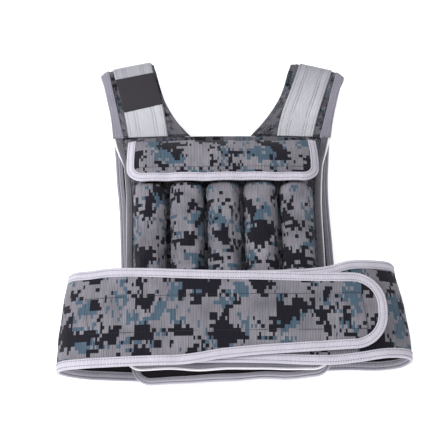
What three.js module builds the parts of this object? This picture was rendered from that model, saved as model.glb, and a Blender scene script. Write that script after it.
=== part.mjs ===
import * as THREE from "three";

// Weighted vest lying on its back with its waist belt fastened. Millimetres, +Z up from the floor,
// +Y towards the shoulders, +X to the right of someone who looks down on the front.

// Sizes of the cloth, the tape and the webbing
const clearance = 0.3;
const panelThickness = 6;
const beltThickness = 4;
const flapThickness = 4;
const strapThickness = 5;
const bindingThickness = 1.2;
const bindingWidth = 11.5;
const strapBindingWidth = 14;
const webbingThickness = 2.4;
const webbingWidth = 50;
const patchThickness = 1.2;

// Sizes of the weight channels
const channelCount = 5;
const channelWidth = 49.5;
const channelGap = 3;
const channelHeight = 28;
const channelTopMargin = 17.5;

// Sizes of the torso
const torsoLength = 346;
const hemBelowCentre = 208;
const backHemDrop = 11;
const backExtraWidth = 9;
const seamMargin = 1.5;
const neckWidth = 92;
const torsoGap = 21;
const frontCrown = 8;
const necklineFall = 3;
const hemCornerRadius = 26;

// Sizes of the flap over the channel tops
const flapDepth = 74;
const flapOverhang = 7;
const flapCornerRadius = 24;

// Sizes of the shoulder straps
const strapRise = 126;
const strapTopWidth = 81;
const strapNeckTop = 105;
const webbingFromTape = { left: 6.5, right: 4 };
const shoulderFoldRadius = 9;
const shoulderSlope = 0.21;

// Sizes of the waist belt
const beltWidth = 131.5;
const beltTopBelowCentre = 78;
const frontBeltRise = 8;
const beltSeamHalf = 118;
const leftLoopReach = 98;
const rightLoopReach = 121;
const tongueReach = 220;
const tongueWidth = 99;
const underBeltReach = 62;
const underBeltCornerRadius = 18;

// How each layer lies askew on the floor, as slopes: its upright lines lean, its level lines tilt
const frontLean = 0.024;
const frontTilt = 0.006;
const backLean = 0.057;
const backTilt = 0.047;

// Worked out from the sizes above
const channelPitch = channelWidth + channelGap;
const channelFieldHalf = (channelCount * channelPitch - channelGap) / 2;
const frontHalf = channelFieldHalf + bindingWidth + seamMargin;
const hemY = -hemBelowCentre;
const strapSeamY = hemY + torsoLength;
const flapSewnY = strapSeamY - bindingWidth;
const flapFreeY = flapSewnY - flapDepth;
const channelLowEnd = hemY + bindingWidth + seamMargin;
const channelLength = flapSewnY - channelTopMargin - channelLowEnd;
const bindingStand = clearance + bindingThickness;
const beltLayer = beltThickness + 2 * bindingStand + clearance;
const backBeltZ = bindingStand + beltThickness / 2;
const backPanelZ = backBeltZ + beltThickness / 2 + bindingStand + clearance
  + channelHeight + clearance + panelThickness / 2;
const frontPanelZ = backPanelZ + panelThickness + torsoGap;
const crestHeight = clearance + channelHeight;
const flapHeight = crestHeight + clearance + bindingStand + flapThickness / 2;
const beltHeight = crestHeight + clearance + bindingStand + beltThickness / 2;
const shoulderFrontZ = backPanelZ + 2 * shoulderFoldRadius;

const colours = {
  camo: 0x77757c, binding: 0xcfcbd6, sideBinding: 0x8d8b97, webbing: 0xc9ccd2, patch: 0x1d1c20,
};

// The sides of an outline, in their order
const [BOTTOM, RIGHT, TOP, LEFT] = ["bottom", "right", "top", "left"].keys();

// How finely the faces follow the cloth, and how sharp a corner may stretch its tape
const cornerSteps = 2;
const panelSteps = 10;
const flapSteps = 11;
const channelArcSteps = 8;
const foldSteps = 6;
const beltSteps = { under: 26, over: 30 };
const sharpestMitre = 0.6;

const vest = new THREE.Group();
vest.name = "weighted_vest";

const point = (x, y) => new THREE.Vector2(x, y);
const smooth = (t) => THREE.MathUtils.smoothstep(t, 0, 1);
const mix = (a, b, t) => a + (b - a) * t;

// Moves a plan point of the front or back layer to where that layer lies; at the straps both agree
function lie(side, x, y) {
  const share = side === "front" ? 1 : smooth((y - strapSeamY / 2) / (strapSeamY / 2));
  return point(x - mix(backLean, frontLean, share) * y, y + mix(backTilt, frontTilt, share) * x);
}

// Height of the middle of the front layer: crowned over the torso, falling to the shoulder folds
function frontLayerZ(x, y) {
  const crowned = frontPanelZ - frontCrown * (x / frontHalf) ** 2
    - necklineFall * smooth((y - strapSeamY / 2) / (strapSeamY / 2));
  const towardsFold = smooth((y - strapSeamY) / (strapRise - shoulderFoldRadius * 2));
  return mix(crowned, shoulderFrontZ, towardsFold);
}

// Height above the floor of a point that stands off the outer face of a panel
function standOff(side, x, y, height) {
  const offset = panelThickness / 2 + height;
  return side === "front" ? frontLayerZ(x, y) + offset : backPanelZ - offset;
}

// Adds a closed solid to the vest, with its faces turned outwards
function addSolid(name, points, triangles, colour, roughness = 0.9) {
  let volume = 0;
  for (const [a, b, c] of triangles) {
    volume += points[a].dot(new THREE.Vector3().crossVectors(points[b], points[c]));
  }
  const index = triangles.flatMap(([a, b, c]) => (volume > 0 ? [a, b, c] : [a, c, b]));
  const geometry = new THREE.BufferGeometry().setFromPoints(points);
  geometry.setIndex(index);
  geometry.computeVertexNormals();
  const material = new THREE.MeshStandardMaterial({ color: colour, roughness, metalness: 0 });
  const mesh = new THREE.Mesh(geometry, material);
  mesh.name = name;
  vest.add(mesh);
}

const quad = (a, b, c, d) => [[a, b, c], [a, c, d]];

// A solid through rings of points, with its caps as triangles of ring indices; a face of a bent
// sheet and the face that lies against it are split along the same diagonal
function loftSolid(name, rings, capFaces, colour, splitOtherWay = () => false) {
  const size = rings[0].length;
  const triangles = [];
  for (let i = 0; i + 1 < rings.length; i += 1) {
    for (let k = 0; k < size; k += 1) {
      const next = (k + 1) % size;
      const low = i * size;
      const high = low + size;
      const corners = [low + k, low + next, high + next, high + k];
      if (splitOtherWay(k)) corners.push(corners.shift());
      triangles.push(...quad(...corners));
    }
  }
  const last = (rings.length - 1) * size;
  for (const [a, b, c] of capFaces) {
    triangles.push([c, b, a]);
    triangles.push([last + a, last + b, last + c]);
  }
  addSolid(name, rings.flat(), triangles, colour);
}

// A point of a bent sheet and its normal, from the function that bends the flat cloth
function bentPoint(bend, flat, height) {
  const step = 0.5;
  const along = bend(flat.x + step, flat.y).sub(bend(flat.x - step, flat.y));
  const across = bend(flat.x, flat.y + step).sub(bend(flat.x, flat.y - step));
  const normal = along.cross(across).normalize();
  return bend(flat.x, flat.y).addScaledVector(normal, height);
}

// The direction into the cloth at a station of an edge, long enough to keep the width at a corner
function inwardAt(before, at, after) {
  const normals = [];
  if (before) normals.push(new THREE.Vector2(before.y - at.y, at.x - before.x).normalize());
  if (after) normals.push(new THREE.Vector2(at.y - after.y, after.x - at.x).normalize());
  const bisector = new THREE.Vector2();
  normals.forEach((normal) => bisector.add(normal));
  bisector.normalize();
  return bisector.divideScalar(Math.max(bisector.dot(normals[0]), sharpestMitre));
}

// A flat outline from four sides, each a list of points, counter-clockwise from bottom left. A bound
// side gets a line where its binding ends; an open side is a seam, and its tape ends are cut along it.
function makeOutline(sides, openSides) {
  const isOpen = (s) => openSides.includes((s + 4) % 4);
  const stations = sides.map((side, s) => side.map((at, i) => {
    const last = sides[(s + 3) % 4];
    const next = sides[(s + 1) % 4];
    const before = i > 0 ? side[i - 1] : last[last.length - 2];
    const after = i < side.length - 1 ? side[i + 1] : next[1];
    const startsAtSeam = i === 0 && isOpen(s - 1);
    const endsAtSeam = i === side.length - 1 && isOpen(s + 1);
    let inward = inwardAt(startsAtSeam ? null : before, at, endsAtSeam ? null : after);
    if (startsAtSeam || endsAtSeam) {
      const cut = (startsAtSeam ? before : after).clone().sub(at).normalize();
      inward = cut.divideScalar(cut.dot(inward));
    }
    return { at, inward, lip: at.clone().addScaledVector(inward, bindingWidth) };
  }));
  const gridSides = sides.map((side, s) => {
    if (!isOpen(s)) return stations[s].map((station) => station.lip);
    const start = stations[(s + 3) % 4][sides[(s + 3) % 4].length - 1].lip;
    const end = stations[(s + 1) % 4][0].lip;
    return straightPoints(start, end, side.length - 1);
  });
  return { stations, gridSides, isOpen, columns: sides[0].length - 1, rows: sides[1].length - 1 };
}

// A padded sheet: a grid inside the lines where its bindings end, and a band out to each bound side
function sheetSolid(name, outline, bend, thickness, colour) {
  const { stations, gridSides, isOpen, columns, rows } = outline;
  const [bottom, right, top, left] = gridSides;
  const flat = [];
  for (let i = 0; i <= rows; i += 1) {
    for (let j = 0; j <= columns; j += 1) {
      const u = j / columns;
      const v = i / rows;
      const upright = bottom[j].clone().lerp(top[columns - j], v);
      const level = left[rows - i].clone().lerp(right[i], u);
      const lowCorners = bottom[0].clone().lerp(bottom[columns], u);
      const highCorners = top[columns].clone().lerp(top[0], u);
      flat.push(upright.add(level).sub(lowCorners.lerp(highCorners, v)));
    }
  }
  const gridIndex = (i, j) => i * (columns + 1) + j;
  const gridOnSide = [
    (k) => gridIndex(0, k),
    (k) => gridIndex(k, columns),
    (k) => gridIndex(rows, columns - k),
    (k) => gridIndex(rows - k, 0),
  ];
  const faces = [];
  for (let i = 0; i < rows; i += 1) {
    for (let j = 0; j < columns; j += 1) {
      const corners = [gridIndex(i, j), gridIndex(i, j + 1), gridIndex(i + 1, j + 1), gridIndex(i + 1, j)];
      faces.push(...quad(...corners));
    }
  }
  const outer = [];
  stations.forEach((side, s) => {
    outer.push([]);
    if (isOpen(s)) return;
    side.forEach((station, k) => {
      const joined = k === 0 && s > 0 && !isOpen(s - 1);
      const closes = k === side.length - 1 && s === 3 && !isOpen(0);
      if (joined) outer[s].push(outer[s - 1][outer[s - 1].length - 1]);
      else if (closes) outer[s].push(outer[0][0]);
      else outer[s].push(flat.push(station.at) - 1);
    });
    for (let k = 0; k + 1 < side.length; k += 1) {
      faces.push(...quad(outer[s][k], outer[s][k + 1], gridOnSide[s](k + 1), gridOnSide[s](k)));
    }
  });
  const rim = stations.flatMap((side, s) => (isOpen(s) ? side.map((_, k) => gridOnSide[s](k)) : outer[s]));
  const loop = rim.filter((at, k) => at !== rim[(k + 1) % rim.length]);
  const layer = flat.length;
  const points = [
    ...flat.map((at) => bentPoint(bend, at, thickness / 2)),
    ...flat.map((at) => bentPoint(bend, at, -thickness / 2)),
  ];
  const triangles = [...faces, ...faces.map(([a, b, c]) => [layer + a, layer + c, layer + b])];
  loop.forEach((at, k) => {
    const next = loop[(k + 1) % loop.length];
    triangles.push(...quad(at, layer + at, layer + next, next));
  });
  addSolid(name, points, triangles, colour);
}

// The eight points of a folded tape over the edge of a sheet, and the quads of its cut end
const upperInnerFace = (k) => k === 4;
const tapeEnd = [[0, 1, 6], [0, 6, 7], [1, 2, 5], [1, 5, 6], [2, 3, 4], [2, 4, 5]];

function tapeRing(place, thickness, width) {
  const inner = thickness / 2 + clearance;
  const outer = inner + bindingThickness;
  return [
    place(width, -outer), place(-bindingStand, -outer), place(-bindingStand, outer), place(width, outer),
    place(width, inner), place(-clearance, inner), place(-clearance, -inner), place(width, -inner),
  ];
}

// A binding folded over one side of a sheet, or over sides that follow each other
function edgeBinding(name, outline, bend, thickness, sides, colour) {
  const stations = sides.flatMap((s, i) => outline.stations[s].slice(i ? 1 : 0));
  const rings = stations.map(({ at, inward }) => {
    const place = (depth, height) => bentPoint(bend, at.clone().addScaledVector(inward, depth), height);
    return tapeRing(place, thickness, bindingWidth);
  });
  loftSolid(name, rings, tapeEnd, colour, upperInnerFace);
}

// Points of an arc, between two angles in degrees, in equal steps
function arcPoints(centre, radius, fromDegrees, toDegrees, steps) {
  return Array.from({ length: steps + 1 }, (_, i) => {
    const angle = THREE.MathUtils.degToRad(mix(fromDegrees, toDegrees, i / steps));
    return point(centre.x + radius * Math.cos(angle), centre.y + radius * Math.sin(angle));
  });
}

function straightPoints(from, to, steps) {
  return Array.from({ length: steps + 1 }, (_, i) => from.clone().lerp(to, i / steps));
}

// A line of lists of points, with the shared ends kept once
const joinPoints = (...lists) => lists.flatMap((list, i) => (i ? list.slice(1) : list));

// The outline of a piece with two round lower corners, sides from the corners up and an open top
function roundedOutline(corner, radius, side, steps) {
  const low = corner(1).y - radius;
  const bottom = joinPoints(
    arcPoints(corner(-1), radius, 225, 270, cornerSteps),
    straightPoints(point(corner(-1).x, low), point(corner(1).x, low), steps),
    arcPoints(corner(1), radius, 270, 315, cornerSteps),
  );
  const right = joinPoints(arcPoints(corner(1), radius, -45, 0, cornerSteps), side(1));
  const left = joinPoints(side(-1).reverse(), arcPoints(corner(-1), radius, 180, 225, cornerSteps));
  const top = straightPoints(right[right.length - 1], left[0], bottom.length - 1);
  return makeOutline([bottom, right, top, left], [TOP]);
}

// Shape of the torso panels: how high on the panel, how wide there as a share of the front panel,
// and how much of its extra width the back panel has there
const panelEdge = [
  { up: 0.24, wide: 1, extra: 0.8 },
  { up: 0.5, wide: 1, extra: 1 },
  { up: 0.76, wide: 1.01, extra: 1 },
  { up: 0.87, wide: 1.045, extra: 0.8 },
  { up: 0.94, wide: 1.085, extra: 0.4 },
  { up: 1, wide: 1.125, extra: 0 },
];
const backHemTaper = 0.4;
const strapSeamHalf = frontHalf * panelEdge[panelEdge.length - 1].wide;

// The outline of a torso panel: rounded hem corners, sides that widen to the straps, a straight top
function panelOutline(hem, extraWidth) {
  const length = strapSeamY - clearance / 2 - hem;
  const cornerHalf = frontHalf * panelEdge[0].wide - extraWidth * backHemTaper;
  const corner = (sign) => point(sign * (cornerHalf - hemCornerRadius), hem + hemCornerRadius);
  const edgePoint = (sign, row) => {
    const half = frontHalf * row.wide + extraWidth * row.extra;
    return point(sign * half, hem + length * row.up);
  };
  const side = (sign) => [
    point(sign * cornerHalf, hem + hemCornerRadius),
    ...panelEdge.map((row) => edgePoint(sign, row)),
  ];
  return roundedOutline(corner, hemCornerRadius, side, panelSteps);
}

function makePanel(side) {
  const front = side === "front";
  const outline = front ? panelOutline(hemY, 0) : panelOutline(hemY - backHemDrop, backExtraWidth);
  const bend = (x, y) => {
    const at = lie(side, x, y);
    return new THREE.Vector3(at.x, at.y, front ? frontLayerZ(x, y) : backPanelZ);
  };
  sheetSolid(`${side}_panel`, outline, bend, panelThickness, colours.camo);
  edgeBinding(`${side}_panel_binding`, outline, bend, panelThickness, [LEFT, BOTTOM, RIGHT],
    front ? colours.binding : colours.sideBinding);
}

// Sections of a weight channel from its low end: how far along, how wide, how high
const channelSections = [
  { along: 0, wide: 0.62, high: 0.3 },
  { along: 0.015, wide: 0.84, high: 0.62 },
  { along: 0.05, wide: 0.96, high: 0.9 },
  { along: 0.12, wide: 1, high: 1 },
  { along: 0.34, wide: 1, high: 1 },
  { along: 0.5, wide: 0.99, high: 0.99 },
  { along: 0.68, wide: 1, high: 1 },
  { along: 0.83, wide: 0.99, high: 0.99 },
  { along: 0.9, wide: 0.96, high: 0.9 },
  { along: 0.96, wide: 0.88, high: 0.7 },
  { along: 1, wide: 0.66, high: 0.36 },
];
const channelSquareness = 0.8;

function makeChannel(side, number) {
  const middle = (number - (channelCount + 1) / 2) * channelPitch;
  const rings = channelSections.map((section) => {
    const y = channelLowEnd + channelLength * section.along;
    const ring = [];
    for (let k = 0; k <= channelArcSteps; k += 1) {
      const angle = Math.PI * (k / channelArcSteps);
      const x = middle + (channelWidth / 2) * section.wide * Math.cos(angle);
      const height = clearance + channelHeight * section.high * Math.sin(angle) ** channelSquareness;
      const at = lie(side, x, y);
      ring.push(new THREE.Vector3(at.x, at.y, standOff(side, x, y, height)));
    }
    return ring;
  });
  const cap = [];
  for (let k = 1; k < channelArcSteps; k += 1) cap.push([0, k, k + 1]);
  loftSolid(`${side}_channel_${number}`, rings, cap, colours.camo);
}

// How high the flap stands over the channels, from its free edge to the edge that is sewn down
const flapProfile = [
  { up: 0, high: 1 },
  { up: 0.25, high: 1 },
  { up: 0.47, high: 0.97 },
  { up: 0.65, high: 0.84 },
  { up: 0.79, high: 0.6 },
  { up: 1, high: 0.08 },
];
const flapSideFall = 0.62;

// A value of a table between its rows, for a share from 0 to 1
function between(table, key, share, value) {
  const last = table.length - 1;
  const next = table.findIndex((row, i) => i === last || row[key] >= share);
  const high = table[Math.max(next, 1)];
  const low = table[Math.max(next, 1) - 1];
  return mix(low[value], high[value], (share - low[key]) / (high[key] - low[key]));
}

function makeFlap(side) {
  const half = channelFieldHalf + flapOverhang;
  const crestHalf = channelFieldHalf - channelWidth / 2;
  const bend = (x, y) => {
    const overSide = Math.max(Math.abs(x) - crestHalf, 0) / (half - crestHalf);
    const round = Math.sqrt(1 - flapSideFall * overSide ** 2);
    const rise = between(flapProfile, "up", (y - flapFreeY) / flapDepth, "high");
    const low = clearance + flapThickness / 2 + bindingStand;
    const at = lie(side, x, y);
    return new THREE.Vector3(at.x, at.y, standOff(side, x, y, mix(low, flapHeight, rise * round)));
  };
  const corner = (sign) => point(sign * (half - flapCornerRadius), flapFreeY + flapCornerRadius);
  const rows = flapProfile.filter((row) => row.up * flapDepth > flapCornerRadius);
  const edge = (sign) => [
    point(sign * half, flapFreeY + flapCornerRadius),
    ...rows.map((row) => point(sign * half, flapFreeY + flapDepth * row.up)),
  ];
  const outline = roundedOutline(corner, flapCornerRadius, edge, flapSteps);
  sheetSolid(`${side}_flap`, outline, bend, flapThickness, colours.camo);
  edgeBinding(`${side}_flap_binding`, outline, bend, flapThickness, [LEFT, BOTTOM, RIGHT], colours.binding);
}

// Edges of a shoulder strap on the front: how far up to the fold each edge is, how far out, and
// whether the bare patch covers the webbing there
const strapEdges = [
  { neckUp: 0, neckOut: 0, armUp: 0, armOut: 0, patched: false },
  { neckUp: 0.17, neckOut: 0.3, armUp: 0.12, armOut: 0.08, patched: false },
  { neckUp: 0.467, neckOut: 0.66, armUp: 0.37, armOut: 0.28, patched: true },
  { neckUp: 0.69, neckOut: 0.82, armUp: 0.64, armOut: 0.57, patched: true },
  { neckUp: 0.92, neckOut: 0.95, armUp: 0.91, armOut: 0.89, patched: true },
  { neckUp: 1, neckOut: 1, armUp: 1, armOut: 1, patched: false },
];

// The strap's rows cross its webbing at a slant, so it is wider along them than across itself
const webbingSlant = 1.06;

// Rows across a strap from the front seam over the shoulder to the back seam
function strapRows(sign) {
  const crestOut = shoulderFoldRadius + strapThickness / 2;
  const foldUp = new THREE.Vector2(shoulderSlope, 1).normalize();
  const neckTop = point(strapNeckTop, strapSeamY + strapRise).addScaledVector(foldUp, -crestOut);
  const armTop = neckTop.clone().add(point(foldUp.y, -foldUp.x).multiplyScalar(strapTopWidth));
  const edgeRow = (row) => ({
    neck: point(mix(neckWidth / 2, neckTop.x, row.neckOut), mix(strapSeamY, neckTop.y, row.neckUp)),
    arm: point(mix(strapSeamHalf, armTop.x, row.armOut), mix(strapSeamY, armTop.y, row.armUp)),
  });
  const layer = (flat, z) => {
    const at = lie("front", sign * flat.x, flat.y);
    return new THREE.Vector3(at.x, at.y, z);
  };
  const seamShift = point(0, clearance / 2);
  const plan = strapEdges.map(edgeRow);
  plan[0].neck.add(seamShift);
  plan[0].arm.add(seamShift);
  const rows = plan.map(({ neck, arm }) => ({
    neck: layer(neck, frontLayerZ(neck.x, neck.y)),
    arm: layer(arm, frontLayerZ(arm.x, arm.y)),
  }));
  rows[rows.length - 1].neck.z = shoulderFrontZ;
  rows[rows.length - 1].arm.z = shoulderFrontZ;
  const top = plan[plan.length - 1];
  for (let i = 1; i < foldSteps; i += 1) {
    const angle = Math.PI * (i / foldSteps);
    const out = shoulderFoldRadius * Math.sin(angle);
    const z = backPanelZ + shoulderFoldRadius * (1 + Math.cos(angle));
    rows.push({
      neck: layer(top.neck.clone().addScaledVector(foldUp, out), z),
      arm: layer(top.arm.clone().addScaledVector(foldUp, out), z),
    });
  }
  plan.reverse().forEach(({ neck, arm }) => {
    rows.push({ neck: layer(neck, backPanelZ), arm: layer(arm, backPanelZ) });
  });
  return rows.map((row, i) => {
    const before = rows[Math.max(i - 1, 0)];
    const after = rows[Math.min(i + 1, rows.length - 1)];
    const along = after.neck.clone().add(after.arm).sub(before.neck).sub(before.arm);
    const across = row.arm.clone().sub(row.neck).multiplyScalar(sign);
    const width = across.length();
    return { ...row, width, normal: across.cross(along).normalize() };
  });
}

// A point on a strap row, measured from the neck edge towards the arm edge
function onStrap(row, distance, height) {
  return row.neck.clone().lerp(row.arm, distance / row.width).addScaledVector(row.normal, height);
}

// A thin solid on strap rows, between two heights, with the distances across given for each row
function stripSolid(name, rows, across, low, high, colour) {
  const rings = rows.map((row) => {
    const distances = across(row);
    return [
      ...distances.map((distance) => onStrap(row, distance, high)),
      ...distances.slice().reverse().map((distance) => onStrap(row, distance, low)),
    ];
  });
  const size = rings[0].length;
  const cap = [];
  for (let k = 0; k + 1 < size / 2; k += 1) {
    cap.push([k, k + 1, size - 2 - k]);
    cap.push([k, size - 2 - k, size - 1 - k]);
  }
  loftSolid(name, rings, cap, colour, (k) => k >= size / 2);
}

function makeStrap(side, sign) {
  const rows = strapRows(sign);
  const half = strapThickness / 2;
  const webbingArm = (row) => row.width - strapBindingWidth - webbingFromTape[side];
  const webbingAcross = (row) => [webbingArm(row) - webbingWidth * webbingSlant, webbingArm(row)];
  const strapAcross = (row) => [0, ...webbingAcross(row), row.width];
  stripSolid(`strap_${side}`, rows, strapAcross, -half, half, colours.camo);
  const tape = rows.map((row) => {
    const place = (depth, height) => onStrap(row, row.width - depth, height);
    return tapeRing(place, strapThickness, strapBindingWidth);
  });
  loftSolid(`strap_binding_${side}`, tape, tapeEnd, colours.sideBinding);

  // The webbing lies beside the binding and runs over the shoulder
  const webbingLow = half + clearance;
  const webbingHigh = webbingLow + webbingThickness;
  stripSolid(`webbing_${side}`, rows, webbingAcross, webbingLow, webbingHigh, colours.webbing);
  return { rows, webbingAcross, webbingHigh };
}

// A bare patch sewn over the webbing near the shoulder
function makePatch({ rows, webbingAcross, webbingHigh }) {
  const low = webbingHigh + clearance;
  const patchedRows = rows.filter((_, i) => strapEdges[i]?.patched);
  stripSolid("label_patch", patchedRows, webbingAcross, low, low + patchThickness, colours.patch);
}

// Height of the middle of a belt layer over the front channels
function overChannelsZ(x, layer) {
  return standOff("front", Math.min(Math.abs(x), channelFieldHalf), 0, beltHeight + layer * beltLayer);
}

// Rows of a belt loop from the back seam round to the front: how far out and how far up, and where
// its top edge and its bottom edge lie, as shares of the belt's width above the back seam's edges,
// once the whole belt has risen towards its front stretch
const leftLoop = [
  { out: 0.22, up: 0.008, top: 0, bottom: 0 },
  { out: 0.48, up: 0.03, top: 0, bottom: 0 },
  { out: 0.72, up: 0.12, top: 0.01, bottom: -0.01 },
  { out: 0.92, up: 0.3, top: 0.01, bottom: -0.015 },
  { out: 1, up: 0.52, top: 0, bottom: -0.02 },
  { out: 0.9, up: 0.73, top: 0, bottom: -0.02 },
  { out: 0.66, up: 0.86, top: -0.01, bottom: -0.02 },
  { out: 0.36, up: 0.94, top: 0, bottom: -0.018 },
];
const rightLoop = [
  { out: 0.2, up: 0.008, top: 0, bottom: 0 },
  { out: 0.45, up: 0.025, top: 0, bottom: 0 },
  { out: 0.7, up: 0.1, top: 0, bottom: -0.01 },
  { out: 0.92, up: 0.28, top: 0.01, bottom: 0 },
  { out: 1, up: 0.52, top: 0.015, bottom: 0.01 },
  { out: 0.93, up: 0.76, top: 0.03, bottom: 0.01 },
  { out: 0.72, up: 0.92, top: 0.015, bottom: -0.01 },
  { out: 0.45, up: 0.98, top: -0.025, bottom: -0.05 },
  { out: 0.2, up: 0.995, top: -0.085, bottom: -0.075 },
];
const loopFlare = { left: 0.09, right: 0.15 };

// Top edge of the belt at the back, which is tilted as the back layer is
const backBeltTop = (x) => -beltTopBelowCentre + backTilt * x;

// The front stretch of each belt: where it lies, from -1 at the left to 1 at the right of the
// channels, and how far its edges have moved, as shares of the belt's width
const overStretch = [
  { across: -0.8, top: -0.015, bottom: -0.01 },
  { across: -0.4, top: -0.035, bottom: 0 },
  { across: 0, top: -0.045, bottom: 0.06 },
  { across: 0.4, top: -0.05, bottom: 0.1 },
  { across: 0.8, top: -0.055, bottom: 0.13 },
];
const underStretch = [
  { across: 0.85, top: -0.09, bottom: -0.075 },
  { across: 0.5, top: -0.11, bottom: -0.065 },
  { across: 0.1, top: -0.12, bottom: -0.06 },
];
const underEnd = { top: -0.13, bottom: -0.06 };
const overEndTop = -0.06;
const tongueRound = 0.46;

// The path of a belt in plan and height, and the edges that go with each of its points; `end` is
// the row of its free end
function beltCourse(sign, loop, reach, layer, stretch, end) {
  const seamTop = backBeltTop(sign * beltSeamHalf);
  const frontZ = overChannelsZ(beltSeamHalf, layer);
  const edges = (row) => {
    const rise = frontBeltRise * Math.sqrt(row.up ?? 1);
    return {
      top: seamTop + rise + beltWidth * row.top,
      bottom: seamTop + rise - beltWidth * (1 - row.bottom),
    };
  };
  const seamEnd = { x: sign * (beltSeamHalf + clearance / 2), z: backBeltZ };
  const points = [{ ...seamEnd, ...edges({ up: 0, top: 0, bottom: 0 }) }];
  loop.forEach((row) => points.push({
    x: sign * (beltSeamHalf + reach * row.out),
    z: mix(backBeltZ, frontZ, row.up),
    ...edges(row),
  }));
  stretch.forEach((row) => points.push({
    x: row.across * channelFieldHalf,
    z: overChannelsZ(row.across * channelFieldHalf, layer),
    ...edges(row),
  }));
  points.push({ x: end.x, z: overChannelsZ(end.x, layer), ...edges(end) });
  const line = points.map((row) => new THREE.Vector3(row.x, 0, row.z));
  const path = new THREE.CatmullRomCurve3(line, false, "centripetal");
  const length = path.getLength();
  const edgesAt = (a) => {
    const t = path.getUtoTmapping(THREE.MathUtils.clamp(a / length, 0, 1)) * (points.length - 1);
    const i = Math.min(Math.floor(t), points.length - 2);
    const [last, next] = [points[i], points[i + 1]];
    return { top: mix(last.top, next.top, t - i), bottom: mix(last.bottom, next.bottom, t - i) };
  };
  const flare = sign < 0 ? loopFlare.left : loopFlare.right;
  const bend = (a, y) => {
    const u = THREE.MathUtils.clamp(a / length, 0, 1);
    const at = path.getPointAt(u);
    if (a < 0) at.x += sign * a;
    if (a > length) at.x -= sign * (a - length);
    const pastSeam = Math.max(sign * at.x - beltSeamHalf, 0);
    at.x += sign * pastSeam * flare * ((seamTop - y) / beltWidth);
    at.y = y;
    return at;
  };
  return { length, edgesAt, bend };
}

// The outline of a belt in flat cloth: a straight seam end and an end with rounded corners
function beltOutline(course, radius, steps) {
  const { length, edgesAt } = course;
  const endEdges = edgesAt(length - radius);
  const high = endEdges.top;
  const low = endEdges.bottom;
  const stations = Array.from({ length: steps + 1 }, (_, i) => (i / steps) * (length - radius));
  const lowCorner = point(length - radius, low + radius);
  const highCorner = point(length - radius, high - radius);
  const bottom = joinPoints(
    stations.map((a) => point(a, edgesAt(a).bottom)),
    arcPoints(lowCorner, radius, 270, 315, cornerSteps),
  );
  const right = joinPoints(
    arcPoints(lowCorner, radius, -45, 0, cornerSteps),
    [point(length, low + radius), point(length, high - radius)],
    arcPoints(highCorner, radius, 0, 45, cornerSteps),
  );
  const top = joinPoints(
    arcPoints(highCorner, radius, 45, 90, cornerSteps),
    stations.slice().reverse().map((a) => point(a, edgesAt(a).top)),
  );
  const left = straightPoints(point(0, edgesAt(0).top), point(0, edgesAt(0).bottom), right.length - 1);
  return makeOutline([bottom, right, top, left], [LEFT]);
}

function makeBeltWing(name, course, radius, steps) {
  const outline = beltOutline(course, radius, steps);
  sheetSolid(name, outline, course.bend, beltThickness, colours.camo);
  edgeBinding(`${name}_binding`, outline, course.bend, beltThickness, [BOTTOM, RIGHT, TOP], colours.binding);
}

// The stretch of the belt under the back layer, flat on the floor between the two seams
function makeBackBelt() {
  const bend = (x, y) => new THREE.Vector3(x, y, backBeltZ);
  const seam = beltSeamHalf - clearance / 2;
  const top = (x) => point(x, backBeltTop(x));
  const low = (x) => point(x, backBeltTop(x) - beltWidth);
  const outline = makeOutline([
    straightPoints(low(-seam), low(seam), 4),
    straightPoints(low(seam), top(seam), 2),
    straightPoints(top(seam), top(-seam), 4),
    straightPoints(top(-seam), low(-seam), 2),
  ], [LEFT, RIGHT]);
  sheetSolid("belt_back", outline, bend, beltThickness, colours.camo);
  edgeBinding("belt_back_binding_low", outline, bend, beltThickness, [BOTTOM], colours.binding);
  edgeBinding("belt_back_binding_top", outline, bend, beltThickness, [TOP], colours.binding);
}

for (const side of ["back", "front"]) {
  makePanel(side);
  for (let number = 1; number <= channelCount; number += 1) makeChannel(side, number);
  makeFlap(side);
}
const leftStrap = makeStrap("left", -1);
makeStrap("right", 1);
makePatch(leftStrap);
makeBackBelt();

const underTip = { x: -underBeltReach, ...underEnd };
const underCourse = beltCourse(1, rightLoop, rightLoopReach, 0, underStretch, underTip);
makeBeltWing("belt_under", underCourse, underBeltCornerRadius, beltSteps.under);

const overTip = { x: tongueReach, top: overEndTop, bottom: 1 + overEndTop - tongueWidth / beltWidth };
const overCourse = beltCourse(-1, leftLoop, leftLoopReach, 1, overStretch, overTip);
makeBeltWing("belt_over", overCourse, tongueWidth * tongueRound, beltSteps.over);

// The claimed origin is the middle of the underside of the vest's box
const box = new THREE.Box3().setFromObject(vest);
const centre = box.getCenter(new THREE.Vector3());
vest.position.set(-centre.x, -centre.y, -box.min.z);

export default vest;
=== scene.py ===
import math

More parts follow.
